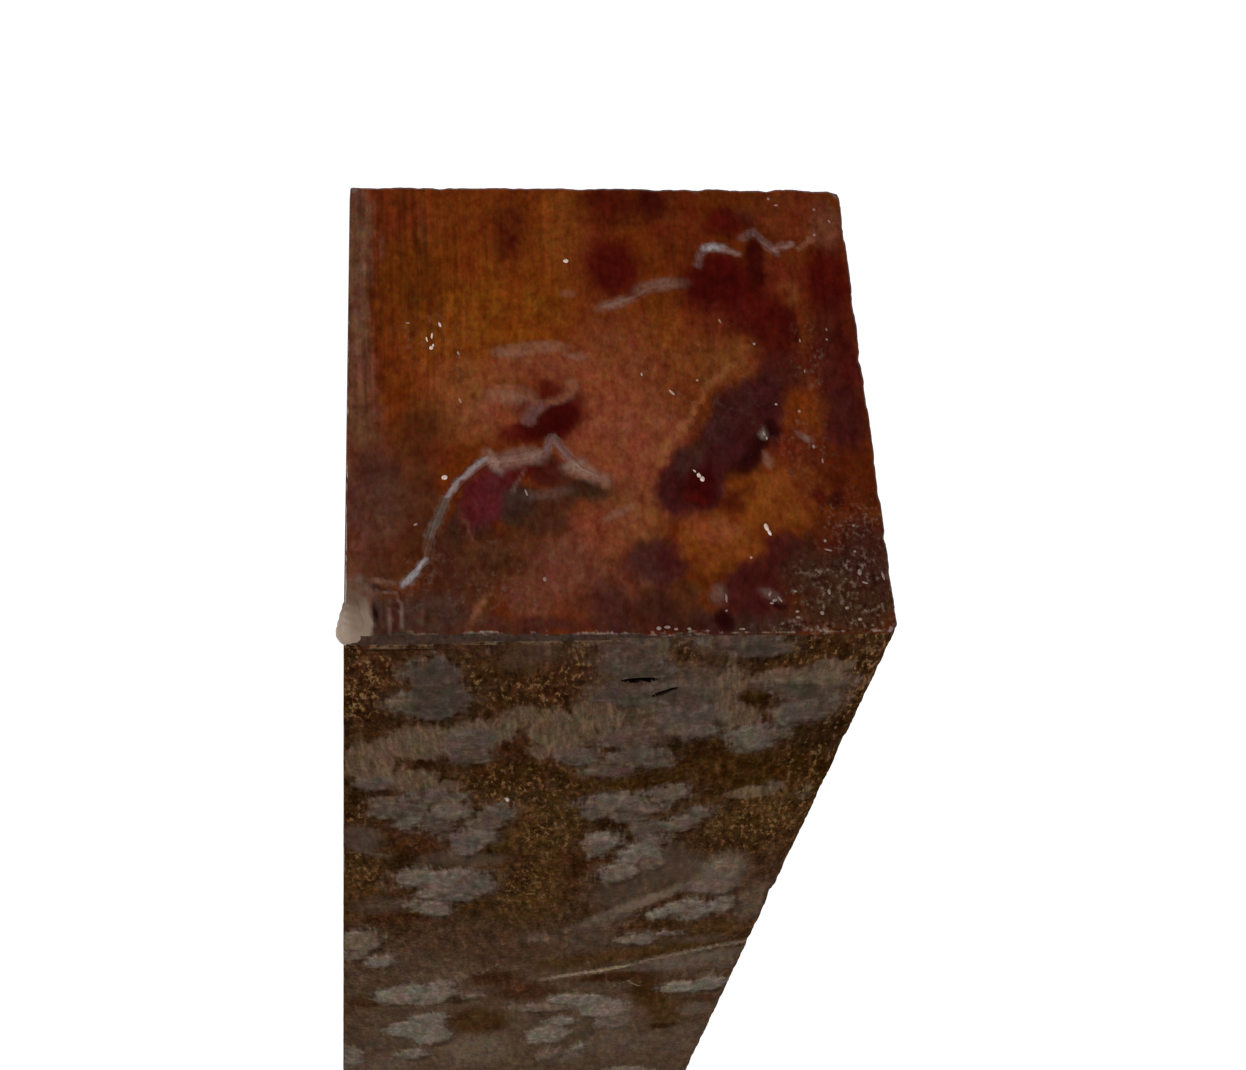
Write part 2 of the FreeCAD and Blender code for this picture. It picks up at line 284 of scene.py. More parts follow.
# The head end, from the left and from the front arris
HEAD_PATCHES = ovals(
    (13, 37, 16, 15, 0, Stain.AMBER, 0.9, 0.6), (15, 34.5, 8, 5.5, 0, Stain.GOLD_AMBER, 0.75, 0.6),
    (7, 40, 4.5, 5, 0, Stain.OLIVE_AMBER, 0.6, 0.6), (12.3, 25.6, 3.8, 3.8, 20, Stain.OCHRE, 0.6, 0.7),
    (19.5, 29, 5, 2, 0, Stain.PINK_ORANGE, 0.8, 0.6), (22.2, 45.5, 2.2, 5.5, 0, Stain.BRIGHT_AMBER, 0.8),
    (12, 45, 2.4, 4.5, 0, Stain.AMBER, 0.7, 0.6), (16.6, 45.6, 1.9, 4, 0, Stain.DARK_RUST, 0.75),
    (16.8, 44.1, 0.9, 0.8, 0, Stain.OXBLOOD, 0.6), (3.5, 47.5, 4, 4, 0, Stain.RED_RUST, 0.6, 0.6),
    (1.3, 38, 1.7, 16, 0, Stain.GREY_BROWN, 0.95, 0.4), (1.6, 27, 1.8, 5, 0, Stain.PINK_BROWN, 0.5),
    (3.4, 38, 0.35, 13, 0, Stain.DARK_RUST, 0.6), (4.5, 35.5, 0.3, 3.2, 0, Stain.DARK_RUST, 0.5),
    (7.1, 36, 0.4, 3.5, 0, Stain.DARK_RUST, 0.45), (7.2, 43.5, 0.35, 2, 0, Stain.DARK_RUST, 0.45),
    (8.8, 37.2, 0.3, 2.6, 0, Stain.DARK_RUST, 0.5), (8, 46, 0.4, 3.4, 0, Stain.ORANGE, 0.6),
    (3.8, 43.6, 0.3, 1.6, 0, Stain.PINK_BROWN, 0.6), (24.6, 34.5, 3, 3.5, 0, Stain.RUST, 0.5, 0.6),
    (24.8, 42.5, 2, 5, 0, Stain.RED_RUST, 0.6, 0.6), (25.5, 24.5, 5, 8.5, -8, Stain.PINK_ORANGE, 0.85),
    (28.5, 20, 4.5, 6.5, 0, Stain.PINK_ORANGE, 0.75), (29.5, 30, 6, 5, 0, Stain.ORANGE, 0.5, 0.6),
    (32, 33.5, 1.8, 2.2, 0, Stain.GOLD_AMBER, 0.6, 0.6), (36.5, 30, 5, 3.5, 0, Stain.ORANGE, 0.6, 0.6),
    (38, 30.4, 2.4, 1.6, 30, Stain.OCHRE, 0.2, 0.6), (33.5, 46, 3, 4.5, 0, Stain.RED_RUST, 0.55, 0.6),
    (28, 48.6, 4.6, 2.6, 0, Stain.DARK_RUST, 0.8), (27, 49, 2.2, 1.8, 0, Stain.BURGUNDY, 0.6),
    (31.2, 49.3, 1.4, 1.8, 0, Stain.DEEP_BURGUNDY, 0.8),
    (26.8, 41.2, 2.9, 3.9, 0, Stain.BURGUNDY, 0.95, 0.4), (38.6, 46.6, 2.2, 1.9, 0, Stain.BURGUNDY, 0.9),
    (41.2, 47, 1.3, 1.2, 0, Stain.RED_PLUM, 0.7), (45.2, 47.6, 3.4, 3, 0, Stain.RUST, 0.7),
    (49, 46, 1.6, 3, 0, Stain.PINK_BROWN, 0.75), (43.6, 38.6, 3.2, 5, 0, Stain.RED_RUST, 0.9),
    (44.6, 38, 1, 1.7, 0, Stain.ORANGE, 0.8), (37.3, 39, 3.7, 4.4, 0, Stain.BURGUNDY, 1, 0.3),
    (37.6, 38.6, 2.4, 2.6, 0, Stain.DEEP_BURGUNDY, 0.5, 0.6),
    (36.5, 34.6, 3.4, 1.8, 0, Stain.RED_RUST, 0.6, 0.6), (40.3, 35.4, 2.4, 2.4, 0, Stain.OXBLOOD, 0.8),
    (41.3, 41.6, 1.1, 4, 0, Stain.DEEP_BURGUNDY, 0.9, 0.4),
    (42.2, 33.4, 2.2, 4.6, 0, Stain.BURGUNDY, 0.85, 0.45), (44, 34, 0.9, 2.4, 0, Stain.DEEP_BURGUNDY, 0.7),
    (48.6, 39.3, 2.3, 4.2, 0, Stain.BURGUNDY, 0.95, 0.4), (48.4, 29, 2.8, 7, 0, Stain.RED_PLUM, 0.85),
    (49.4, 31, 1.2, 4.5, 0, Stain.BURGUNDY, 0.5), (48.3, 23.2, 2.2, 4, 0, Stain.RED_PLUM, 0.95, 0.4),
    (44.4, 24.6, 2, 3.6, 0, Stain.AMBER, 0.75), (48.4, 16.4, 2.6, 3.6, 0, Stain.DARK_RUST, 0.8),
    (46, 18.6, 1.6, 1.8, 0, Stain.DARK_RUST, 0.8), (42.6, 19.6, 2.6, 2.8, 0, Stain.RED_RUST, 0.85),
    (40.6, 14.6, 4.2, 3.4, 10, Stain.BRIGHT_AMBER, 0.9), (43.6, 15.2, 1.6, 1.8, 0, Stain.RUST, 0.7),
    (44.9, 14.4, 0.7, 1.6, 0, Stain.BURGUNDY, 0.8), (46.4, 14.2, 0.9, 1.1, 0, Stain.DARK_PLUM, 0.8),
    (42.9, 28.6, 2.4, 2.4, 54, Stain.RED_PLUM, 0.85), (38.2, 22.8, 6.6, 3.4, 54, Stain.PLUM, 1, 0.2),
    (33, 16, 4.6, 3.2, 64, Stain.PLUM, 1, 0.2), (32.6, 13.2, 1.6, 1.9, 60, Stain.RED_PLUM, 0.8),
    (32.9, 18.8, 2, 1.3, 60, Stain.GREY_PLUM, 0.85), (35.4, 22.4, 3.4, 0.8, 56, Stain.GREY_PLUM, 0.5),
    (36.1, 22.6, 0.4, 3.2, 0, Stain.DUSK_PLUM, 0.6), (38.6, 25, 1.4, 2.2, 0, Stain.DUSK_PLUM, 0.45, 0.6),
    (38.8, 19.4, 2.7, 1.1, 54, Stain.DARK_PLUM, 0.9), (41.1, 22.2, 0.9, 1.1, 0, Stain.DARK_PLUM, 0.95, 0.4),
    (33.4, 15.6, 2.2, 1.7, 64, Stain.DEEP_BURGUNDY, 0.95, 0.4), (32.9, 14.6, 1, 0.8, 0, Stain.OXBLOOD, 0.7),
    (33.3, 23.8, 3.2, 0.35, 58, Stain.OCHRE, 0.9, 0.6), (31.4, 20.8, 2.8, 0.45, 60, Stain.OCHRE, 0.95, 0.6),
    (36.6, 28.2, 2.4, 0.4, 44, Stain.OCHRE, 0.6, 0.6), (36.6, 14, 1.5, 1, 30, Stain.DARK_RUST, 0.9),
    (38.2, 15.2, 0.9, 0.8, 0, Stain.OXBLOOD, 0.5), (15.4, 23.8, 3.4, 2.4, 20, Stain.PINK_ORANGE, 0.7, 0.6),
    (19.5, 25.4, 3.4, 3.6, 0, Stain.RED_RUST, 0.6), (20, 23.2, 3.2, 2.4, 24, Stain.BURGUNDY, 1, 0.35),
    (17.2, 22.2, 2.6, 1.3, 12, Stain.OXBLOOD, 0.9, 0.4),
    (19.8, 22.8, 2.3, 1.5, 20, Stain.DEEP_BURGUNDY, 0.8), (19.6, 26.9, 1.3, 1, 30, Stain.OXBLOOD, 0.75),
    (17.8, 25, 1.2, 1.4, 0, Stain.PINK_BROWN, 0.6), (2.8, 14.6, 3.6, 6.4, 0, Stain.LEFT_PLUM, 0.95),
    (3.4, 17.4, 1.8, 1.8, 0, Stain.DUSK_PLUM, 0.4, 0.6),
    (7.3, 21.6, 2.4, 3.6, 0, Stain.OLIVE_BROWN, 0.75, 0.6),
    (2, 23, 1.8, 2.6, 0, Stain.GREY_BROWN, 0.6, 0.6), (7.2, 15, 1.8, 3.8, 0, Stain.BROWN, 0.8),
    (9, 19.4, 1.2, 1.8, 0, Stain.RUST, 0.6), (2.4, 7.4, 3.4, 2.2, 0, Stain.BROWN, 0.85),
    (1.2, 8.2, 1.2, 2.6, 0, Stain.PINK_BROWN, 0.5, 0.6), (7, 10.4, 1.4, 2.6, -25, Stain.OLIVE_BROWN, 0.8),
    # The dusky band at (10.2, 10.9), along the right side of the long run, is a painted shadow of the run
    (10.2, 10.9, 1.3, 3.6, -22, Stain.DUSK_PLUM, 0.95, 0.4), (12.4, 7.8, 3.4, 3.4, 0, Stain.BROWN, 0.95),
    (8.6, 5.4, 2.4, 2.6, -30, Stain.DUSK_PLUM, 0.6, 0.6), (7.2, 2.6, 4.8, 2.2, 0, Stain.DARK_BROWN, 0.95),
    (3.6, 2.4, 1.7, 2.6, 0, Stain.DARK_BROWN, 0.95, 0.3), (4.7, 2.7, 0.3, 1.7, 0, Stain.RED_PLUM, 0.9, 0.4),
    (3.6, 5.5, 1.2, 0.3, -8, Stain.DARK_PLUM, 0.8), (2.5, 2.5, 0.3, 1.7, -6, Stain.DARK_PLUM, 0.95, 0.4),
    (16.5, 8.4, 3, 3, 0, Stain.BROWN, 0.7, 0.6), (20.5, 8, 3, 4.6, -10, Stain.PINK_BROWN, 0.8, 0.6),
    (17.2, 4.4, 2.4, 2, 0, Stain.PINK_BROWN, 0.85), (12.4, 3.6, 1.6, 1.8, 0, Stain.BROWN, 0.6),
    (12.2, 2.7, 2.2, 0.4, 60, Stain.WAX_ORANGE, 0.5, 0.6), (16.5, 1.5, 5.5, 0.9, 0, Stain.PINK_PLUM, 0.8),
    (13.6, 14.8, 2.3, 3.8, -36, Stain.RED, 1, 0.22), (13.2, 13.2, 1.3, 1.2, 0, Stain.RED, 1, 0.4),
    (16.6, 17.8, 1.4, 0.9, 0, Stain.OXBLOOD, 0.9, 0.4), (19.2, 17.6, 1.6, 1.6, 0, Stain.RED_PLUM, 0.9, 0.4),
    (16.4, 14, 1.7, 2.4, -30, Stain.MOSS, 0.95, 0.35), (22.6, 15.6, 2.6, 1.3, -18, Stain.UMBER, 0.95, 0.45),
    (19.6, 14.4, 2.2, 1.2, 0, Stain.MOSS, 0.6), (18.2, 12.2, 2.6, 1.4, 0, Stain.UMBER, 0.8),
    # The dusky patch at (12.6, 11.4), along the red patch's lower left edge, is painted shade
    (12.6, 11.4, 1.4, 0.8, 0, Stain.DUSK_PLUM, 0.7), (11.6, 11.7, 1.6, 0.22, -58, Stain.PINK_BROWN, 0.7),
    (24.6, 11.4, 3.4, 2.8, 0, Stain.PINK_ORANGE, 0.7), (28.2, 12.4, 1.6, 2.6, 0, Stain.OCHRE, 0.5, 0.6),
    (24.4, 6.6, 2, 2.4, 0, Stain.PINK_BROWN, 0.7), (24.4, 3, 2.6, 2.6, 0, Stain.PINK_PLUM, 0.9, 0.45),
    (29, 7.6, 3, 2.9, 0, Stain.PINK_PLUM, 0.95, 0.35), (30.5, 7.8, 1.2, 2, 0, Stain.RED_PLUM, 0.8, 0.45),
    (27.2, 4.4, 1.6, 1.4, 0, Stain.PINK_BROWN, 0.45), (28.8, 3, 2.2, 1.8, 0, Stain.DUSK_PLUM, 0.9, 0.45),
    (31.8, 3.8, 1.4, 1.8, 0, Stain.BROWN, 0.85), (35, 9.6, 3.8, 3, -12, Stain.BRIGHT_AMBER, 0.95, 0.4),
    (34.6, 11, 2.4, 1.2, 0, Stain.PINK_ORANGE, 0.5), (33.6, 8, 1.4, 0.8, 0, Stain.RED_RUST, 0.4),
    (37.4, 1.4, 5.4, 1.7, 0, Stain.MOSS, 0.9), (32.6, 1.2, 2.6, 1.4, 0, Stain.DUSK_PLUM, 0.8),
    (28, 0.9, 4, 0.9, 0, Stain.DUSK_PLUM, 0.7), (44.5, 8.6, 2.2, 2.6, 0, Stain.MOSS, 0.5, 0.6),
    (37.8, 4.6, 3.4, 2.6, 20, Stain.RED_PLUM, 1, 0.35), (38.6, 6.8, 2, 1.3, 20, Stain.RED_PLUM, 0.95, 0.4),
    (40.8, 8.6, 1.5, 2.2, 0, Stain.RED_PLUM, 0.95, 0.4), (42.8, 9.4, 1.1, 1, 0, Stain.DUSK_PLUM, 0.7),
    (42.4, 6.4, 1.8, 2, 0, Stain.DUSK_PLUM, 0.8), (34.7, 1.8, 0.9, 1.1, 0, Stain.DARK_PLUM, 0.95, 0.4),
    (40.2, 3.2, 0.9, 0.5, 0, Stain.DARK_PLUM, 0.9, 0.4), (46.6, 4.4, 5.2, 4.8, 0, Stain.UMBER, 0.95, 0.4),
    (48.6, 8.6, 2.8, 3.4, 0, Stain.DUSK_PLUM, 0.85), (45.6, 10.2, 1.8, 1.8, 0, Stain.DARK_RUST, 0.8),
)

# Milky places in the wax of the head end: where it has run, and where it has lifted; the bluish white ones
# are painted highlights
MILK_PATCHES = ovals(
    (0.3, 2.2, 2, 3, 0, Stain.WAX_BEIGE, 4, 0.25), (-0.2, 1.4, 1, 1.3, 0, Stain.WAX_CREAM, 0.7, 0.6),
    (0.8, 4.9, 1.7, 1.5, 0, Stain.WAX_SHADE, 0.9, 0.6),
    (3.4, 6.1, 1.3, 0.3, -8, Stain.WAX_ORANGE, 0.55, 0.6),
    (3.8, 5, 1.1, 0.2, -8, Stain.WAX_ORANGE, 0.5, 0.6), (4.2, 2.6, 0.13, 1.8, 0, Stain.WAX_PINK, 0.55),
    (5.2, 2.7, 0.13, 1.9, 0, Stain.WAX_PINK, 0.6), (7, 7.5, 0.3, 0.8, -40, Stain.WAX_BLUE, 0.8, 0.6),
    (14.1, 18.6, 0.6, 1.3, 30, Stain.WAX_PINK, 0.95, 0.6),
    (15.8, 18.9, 1.2, 0.9, 10, Stain.WAX_PINK, 0.7, 0.7),
    (17.6, 19.3, 1.5, 0.8, 0, Stain.WAX_PINK, 0.75, 0.7),
    (21.7, 18.2, 1, 0.7, 20, Stain.WAX_CREAM, 0.75, 0.9),
    (22.9, 17.4, 1.3, 0.7, -22, Stain.WAX_CREAM, 0.65, 0.9),
    (24.3, 16.7, 0.9, 0.6, -20, Stain.WAX_GREY, 0.5, 0.9),
    (25.8, 13, 1.5, 0.4, 28, Stain.WAX_ORANGE, 0.4, 0.7),
    (26.9, 36.7, 1.7, 0.5, 18, Stain.WAX_PINK, 0.55, 0.7),
    (29.8, 38.4, 1.2, 0.6, 25, Stain.WAX_PINK, 0.35, 0.7), (31.8, 39, 2, 0.6, 5, Stain.WAX_PINK, 0.45, 0.7),
    (16.6, 31.1, 1.9, 0.6, 6, Stain.WAX_ORANGE, 0.6, 0.7),
    (19.6, 31.6, 1.9, 0.6, 0, Stain.WAX_ORANGE, 0.55, 0.7),
    (22.6, 30.5, 1, 0.4, -10, Stain.WAX_PINK, 0.4, 0.7),
    (15.9, 26.1, 2, 0.9, 0, Stain.WAX_ORANGE, 0.45, 0.6),
    (22.3, 37.9, 0.6, 0.4, 0, Stain.WAX_ORANGE, 0.3, 0.6),
    (16.4, 16.6, 0.2, 1.6, -25, Stain.WAX_GREY, 0.35, 0.6),
    (19, 15.2, 2.2, 0.5, 8, Stain.WAX_GREY, 0.2, 0.7), (40.4, 18.6, 0.4, 0.8, 0, Stain.WAX_PINK, 0.4, 0.6),
    (40.2, 21.6, 0.35, 0.6, 0, Stain.WAX_GREY, 0.6, 0.6),
    (44.2, 21.2, 0.9, 0.35, -35, Stain.WAX_PINK, 0.45, 0.6),
    (34.4, 4.3, 0.7, 1, 0, Stain.WAX_PINK, 0.35, 0.6), (39.2, 4.2, 1, 0.5, -30, Stain.WAX_PINK, 0.35, 0.6),
)

# Thin milky lines in the wax of the head end, the bluish white ones painted highlights: route, half width,
# tone and strength
MILK_LINES = (
    (
        ((22.0, 27.5), (22.1, 26.7), (21.4, 25.8), (20.1, 25.3), (18.9, 25.0), (18.2, 24.2), (17.7, 23.2)),
        0.5,
        Stain.WAX_ORANGE,
        0.55,
    ),
    (((18.9, 25.0), (18.3, 24.3), (17.6, 23.2)), 0.6, Stain.WAX_MAUVE, 0.6),
    (((14.6, 27.0), (16.4, 27.0), (17.8, 26.0), (18.4, 25.2)), 0.3, Stain.WAX_ORANGE, 0.45),
    (((5.3, 5.6), (6.5, 6.9), (7.6, 8.2)), 0.4, Stain.WAX_BLUE, 0.6),
    (((7.8, 8.6), (8.0, 10.6)), 0.4, Stain.WAX_SHADE, 0.5),
    (((8.0, 10.8), (8.8, 12.8), (9.6, 14.6)), 0.45, Stain.WAX_DIM, 1.0),
    (((9.8, 15.1), (10.8, 16.5), (12.0, 17.7), (13.2, 18.8)), 0.4, Stain.WAX_BLUE, 0.5),
    (((19.2, 19.4), (19.6, 20.6), (19.9, 21.3), (20.5, 20.6), (21.2, 19.2)), 0.45, Stain.WAX_MAUVE, 0.9),
    (((35.4, 41.3), (35.7, 42.6), (36.5, 43.4)), 0.4, Stain.WAX_MAUVE, 0.55),
    (((36.3, 43.4), (37.2, 43.7), (38.3, 43.3)), 0.5, Stain.WAX_BLUE, 0.75),
    (((38.3, 43.3), (39.6, 42.8)), 0.4, Stain.WAX_PINK, 0.7),
    (((40.1, 44.6), (41.5, 45.3), (42.8, 43.8), (43.5, 42.9)), 0.4, Stain.WAX_MAUVE, 0.6),
    (((43.3, 43.3), (44.2, 43.8), (45.2, 44.0)), 0.4, Stain.WAX_PINK, 0.75),
    (((45.9, 43.3), (47.4, 44.5)), 0.25, Stain.WAX_ORANGE, 0.6),
)

# Where the wax of the head end is full of small pale specks, partly wax crumbs and partly painted glints
SPECKLE_PATCHES = ovals_in(
    Stain.WAX_GREY,
    (46.8, 4.2, 5.4, 5, 0, 0.75, 0.4), (48.2, 11, 3, 4, 0, 0.5, 0.6), (44, 0.9, 5.5, 0.8, 0, 1),
    (45.6, 30.4, 1.6, 4, 0, 0.3, 0.6), (44, 20, 2.4, 4, 0, 0.3, 0.6), (33, 29, 8, 7, 0, 0.12, 0.6),
    (12, 6, 9, 5, 0, 0.2, 0.6), (9, 32, 4, 4, 0, 0.15, 0.6),
)

# Where the saw has left lines on the head end, from front to back
SAWN_PATCHES = ovals_in(
    Stain.BLACK,
    (5, 38, 8, 16, 0, 1, 0.4), (18, 44, 9, 8, 0, 0.6), (36, 40, 7, 8, 0, 0.45), (47.5, 30, 4, 14, 0, 0.5),
    (5, 3, 4, 2.6, 0, 0.8, 0.4), (18, 5, 5, 5, 0, 0.35, 0.6),
)

# The eyes of the burl on the front face, from the left and down from the head; their greys grow paler towards
# the foot, partly their own tone and partly a painted sheen
FRONT_EYES = ovals(
    (8.2, 7.6, 2.4, 4, 0, Stain.GREY_1), (9, 12.2, 3.2, 3.4, 0, Stain.GREY_1),
    (8.1, 15.3, 2.1, 1.9, 0, Stain.GREY_1), (5.3, 13.1, 1.5, 1.5, 0, Stain.TAN_1),
    (25.8, 1.2, 2.9, 2.2, 10, Stain.MAUVE_1), (27.7, 3.4, 1.8, 1.9, 0, Stain.MAUVE_1),
    (24.2, 5, 1, 1.2, 0, Stain.MAUVE_1), (27.6, 7.2, 3, 1.8, 0, Stain.GREY_1),
    (35.8, 0.7, 3.4, 1.1, 0, Stain.MAUVE_1), (38.7, 2.7, 2.4, 1.6, -25, Stain.GREY_1),
    (27.2, 12.2, 3.6, 2, 0, Stain.GREY_1), (32.6, 12.8, 2.8, 2.3, 0, Stain.GREY_1),
    (33.4, 17.8, 3.4, 3.2, 0, Stain.GREY_2), (34.4, 21.2, 2.2, 2, -30, Stain.GREY_3),
    (28, 22.6, 2.4, 2.3, 0, Stain.MAUVE_2), (23.7, 26.8, 2.5, 2, 10, Stain.GREY_2),
    (29.3, 27.6, 3, 2.3, -20, Stain.GREY_2), (31.9, 29.2, 1.4, 1.3, 0, Stain.GREY_2),
    (27, 31, 2.4, 1.8, -10, Stain.MAUVE_2), (44.2, 9.8, 3.8, 1.6, 5, Stain.TAN_1),
    (43.8, 12.6, 2.2, 1.8, 0, Stain.GREY_1), (44.6, 17.2, 3, 2.6, -20, Stain.GREY_2),
    (47.2, 15.6, 1.1, 1.8, 20, Stain.MAUVE_2), (41, 23, 2.5, 3.2, 5, Stain.GREY_3),
    (43.2, 22.4, 1.1, 0.9, 0, Stain.TAN_1), (12.4, 22.6, 2.6, 3.6, 10, Stain.GREY_2),
    (12.4, 26.3, 1.8, 1.8, 0, Stain.MAUVE_2), (2.8, 33.2, 1.8, 1.9, 20, Stain.GREY_2),
    (9.2, 36.8, 2.9, 1.7, 0, Stain.GREY_2), (5.4, 40.2, 3, 2.4, 20, Stain.GREY_2),
    (7, 43.6, 1.1, 2.1, 10, Stain.MAUVE_3), (10.8, 41.2, 2.4, 3, 15, Stain.MAUVE_3),
    (10.1, 45, 1.5, 2.2, 0, Stain.GREY_2), (15.7, 43.6, 1.7, 3.8, 15, Stain.GREY_2),
    (14, 48.4, 2.7, 2.6, 10, Stain.GREY_3), (13.3, 52, 1.7, 2.3, 0, Stain.GREY_3),
    (28.3, 39.9, 3.4, 2.7, 0, Stain.MAUVE_3), (34.2, 37.6, 2.7, 2, -10, Stain.MAUVE_3),
    (31.4, 41.6, 2.6, 2, 0, Stain.MAUVE_3), (30.3, 43.8, 1.6, 1.8, 0, Stain.GREY_2),
    (26.6, 42.9, 1.4, 1.5, 0, Stain.GREY_2), (36.7, 46, 1.8, 2.4, 10, Stain.GREY_3),
    (38.3, 43.2, 1.1, 1.6, 20, Stain.GREY_2), (33, 47.8, 1.8, 2.1, 0, Stain.GREY_2),
    (28.4, 50.8, 2.2, 2.3, 0, Stain.GREY_4), (28.3, 53.9, 0.9, 1.8, 0, Stain.GREY_3),
    (34, 51.2, 1.6, 1.7, 0, Stain.GREY_3), (33, 55.4, 2.1, 3.6, 10, Stain.GREY_4),
    (31.4, 61.2, 2.2, 3.2, 15, Stain.GREY_4), (34.6, 58.4, 1.5, 1.7, 0, Stain.MAUVE_3),
    (8, 60.8, 2, 3, 10, Stain.GREY_4), (11.6, 61.5, 3.4, 3, 0, Stain.GREY_4),
    (14.6, 64, 2.7, 4.2, 10, Stain.GREY_3), (10.6, 66.2, 2.2, 2.2, 0, Stain.GREY_4),
    (12.9, 67.6, 2.6, 1.9, 0, Stain.GREY_3), (10.5, 71.4, 2, 2.9, -15, Stain.GREY_4),
    (7.9, 70.2, 1.2, 1.2, 0, Stain.GREY_3), (43.8, 61, 2, 3.4, 0, Stain.TAN_2, 0.8),
    (42.7, 66.8, 2.7, 2.6, 0, Stain.MAUVE_3, 0.9), (37.6, 75.6, 1.6, 2.1, 20, Stain.GREY_5),
    (39.9, 74.2, 1.6, 2.3, -12, Stain.GREY_5), (42.6, 75.2, 1.5, 2.2, 15, Stain.GREY_5),
    (44.7, 73.6, 1.6, 2.2, -15, Stain.GREY_5), (41.4, 73, 1.5, 2.2, 0, Stain.GREY_4),
    (41.8, 77, 1.2, 1.4, 0, Stain.GREY_4), (45.3, 71.6, 1.1, 1.8, 0, Stain.GREY_4),
    (36.2, 85.2, 2.4, 1.9, 0, Stain.GREY_4), (39, 83.3, 1.8, 0.9, 0, Stain.GREY_4),
    (2, 83, 2.6, 4.2, 0, Stain.TAN_2, 0.9), (1.4, 87.8, 1.4, 2, 0, Stain.GREY_3, 0.8),
    (4.6, 90.6, 1.6, 2.7, 5, Stain.GREY_5), (7.8, 104.8, 3.6, 4.4, 20, Stain.GREY_5),
    (11.8, 104.6, 2.6, 5, 10, Stain.GREY_5), (16.8, 106, 1.1, 1.3, 0, Stain.TAN_2),
    (29.4, 109.6, 2.6, 3, 15, Stain.GREY_5), (32.6, 110.4, 2.6, 3.4, -10, Stain.GREY_5),
    (34.8, 113.6, 3.4, 4.3, -10, Stain.GREY_5), (26.6, 112.2, 4.4, 2, 0, Stain.TAN_2, 0.9),
    (44.2, 105.2, 2.4, 2.8, 15, Stain.GREY_5), (47.8, 104.2, 2.4, 3, -10, Stain.GREY_5),
    (11.4, 116, 2.4, 3, 10, Stain.GREY_5), (9.6, 120.4, 4, 4, 0, Stain.GREY_5),
    (12, 124, 2.6, 4.2, 0, Stain.GREY_5), (29.4, 119, 1.8, 2.3, 15, Stain.GREY_5),
    (28, 125, 2.8, 4.4, 5, Stain.GREY_5), (36.4, 120.4, 2.1, 2.9, 0, Stain.MAUVE_3, 0.9),
    (9.6, 132.4, 2.4, 2.6, 10, Stain.GREY_4), (0.9, 133, 1.7, 5.5, 0, Stain.GREY_4),
    (29, 135, 1.6, 2.6, 0, Stain.TAN_2), (33, 131.4, 0.8, 2.2, 10, Stain.GREY_5),
    (7, 146, 3.2, 3.2, 15, Stain.GREY_5), (10.2, 147.6, 2.2, 2.8, -10, Stain.GREY_5),
    (24, 147, 2.8, 3, 0, Stain.GREY_4), (41, 145.6, 3, 3, 10, Stain.GREY_5),
    (44.6, 147.2, 2, 2.6, 0, Stain.GREY_4),
    soft=0.35,
)

# Dark bites in those eyes
FRONT_NOTCHES = ovals(
    (7.3, 65.6, 1.6, 1.5, 0, Stain.RED_GROUND), (40.2, 69.6, 3.6, 1.1, 0, Stain.RED_GROUND),
    (27, 25.6, 1, 1, 0, Stain.RED_GROUND), (40.4, 13.4, 1.8, 1.4, 0, Stain.OLIVE),
    (32, 39, 0.8, 0.7, 0, Stain.RED_GROUND), (8.2, 38.9, 0.9, 0.5, -10, Stain.UMBER),
)
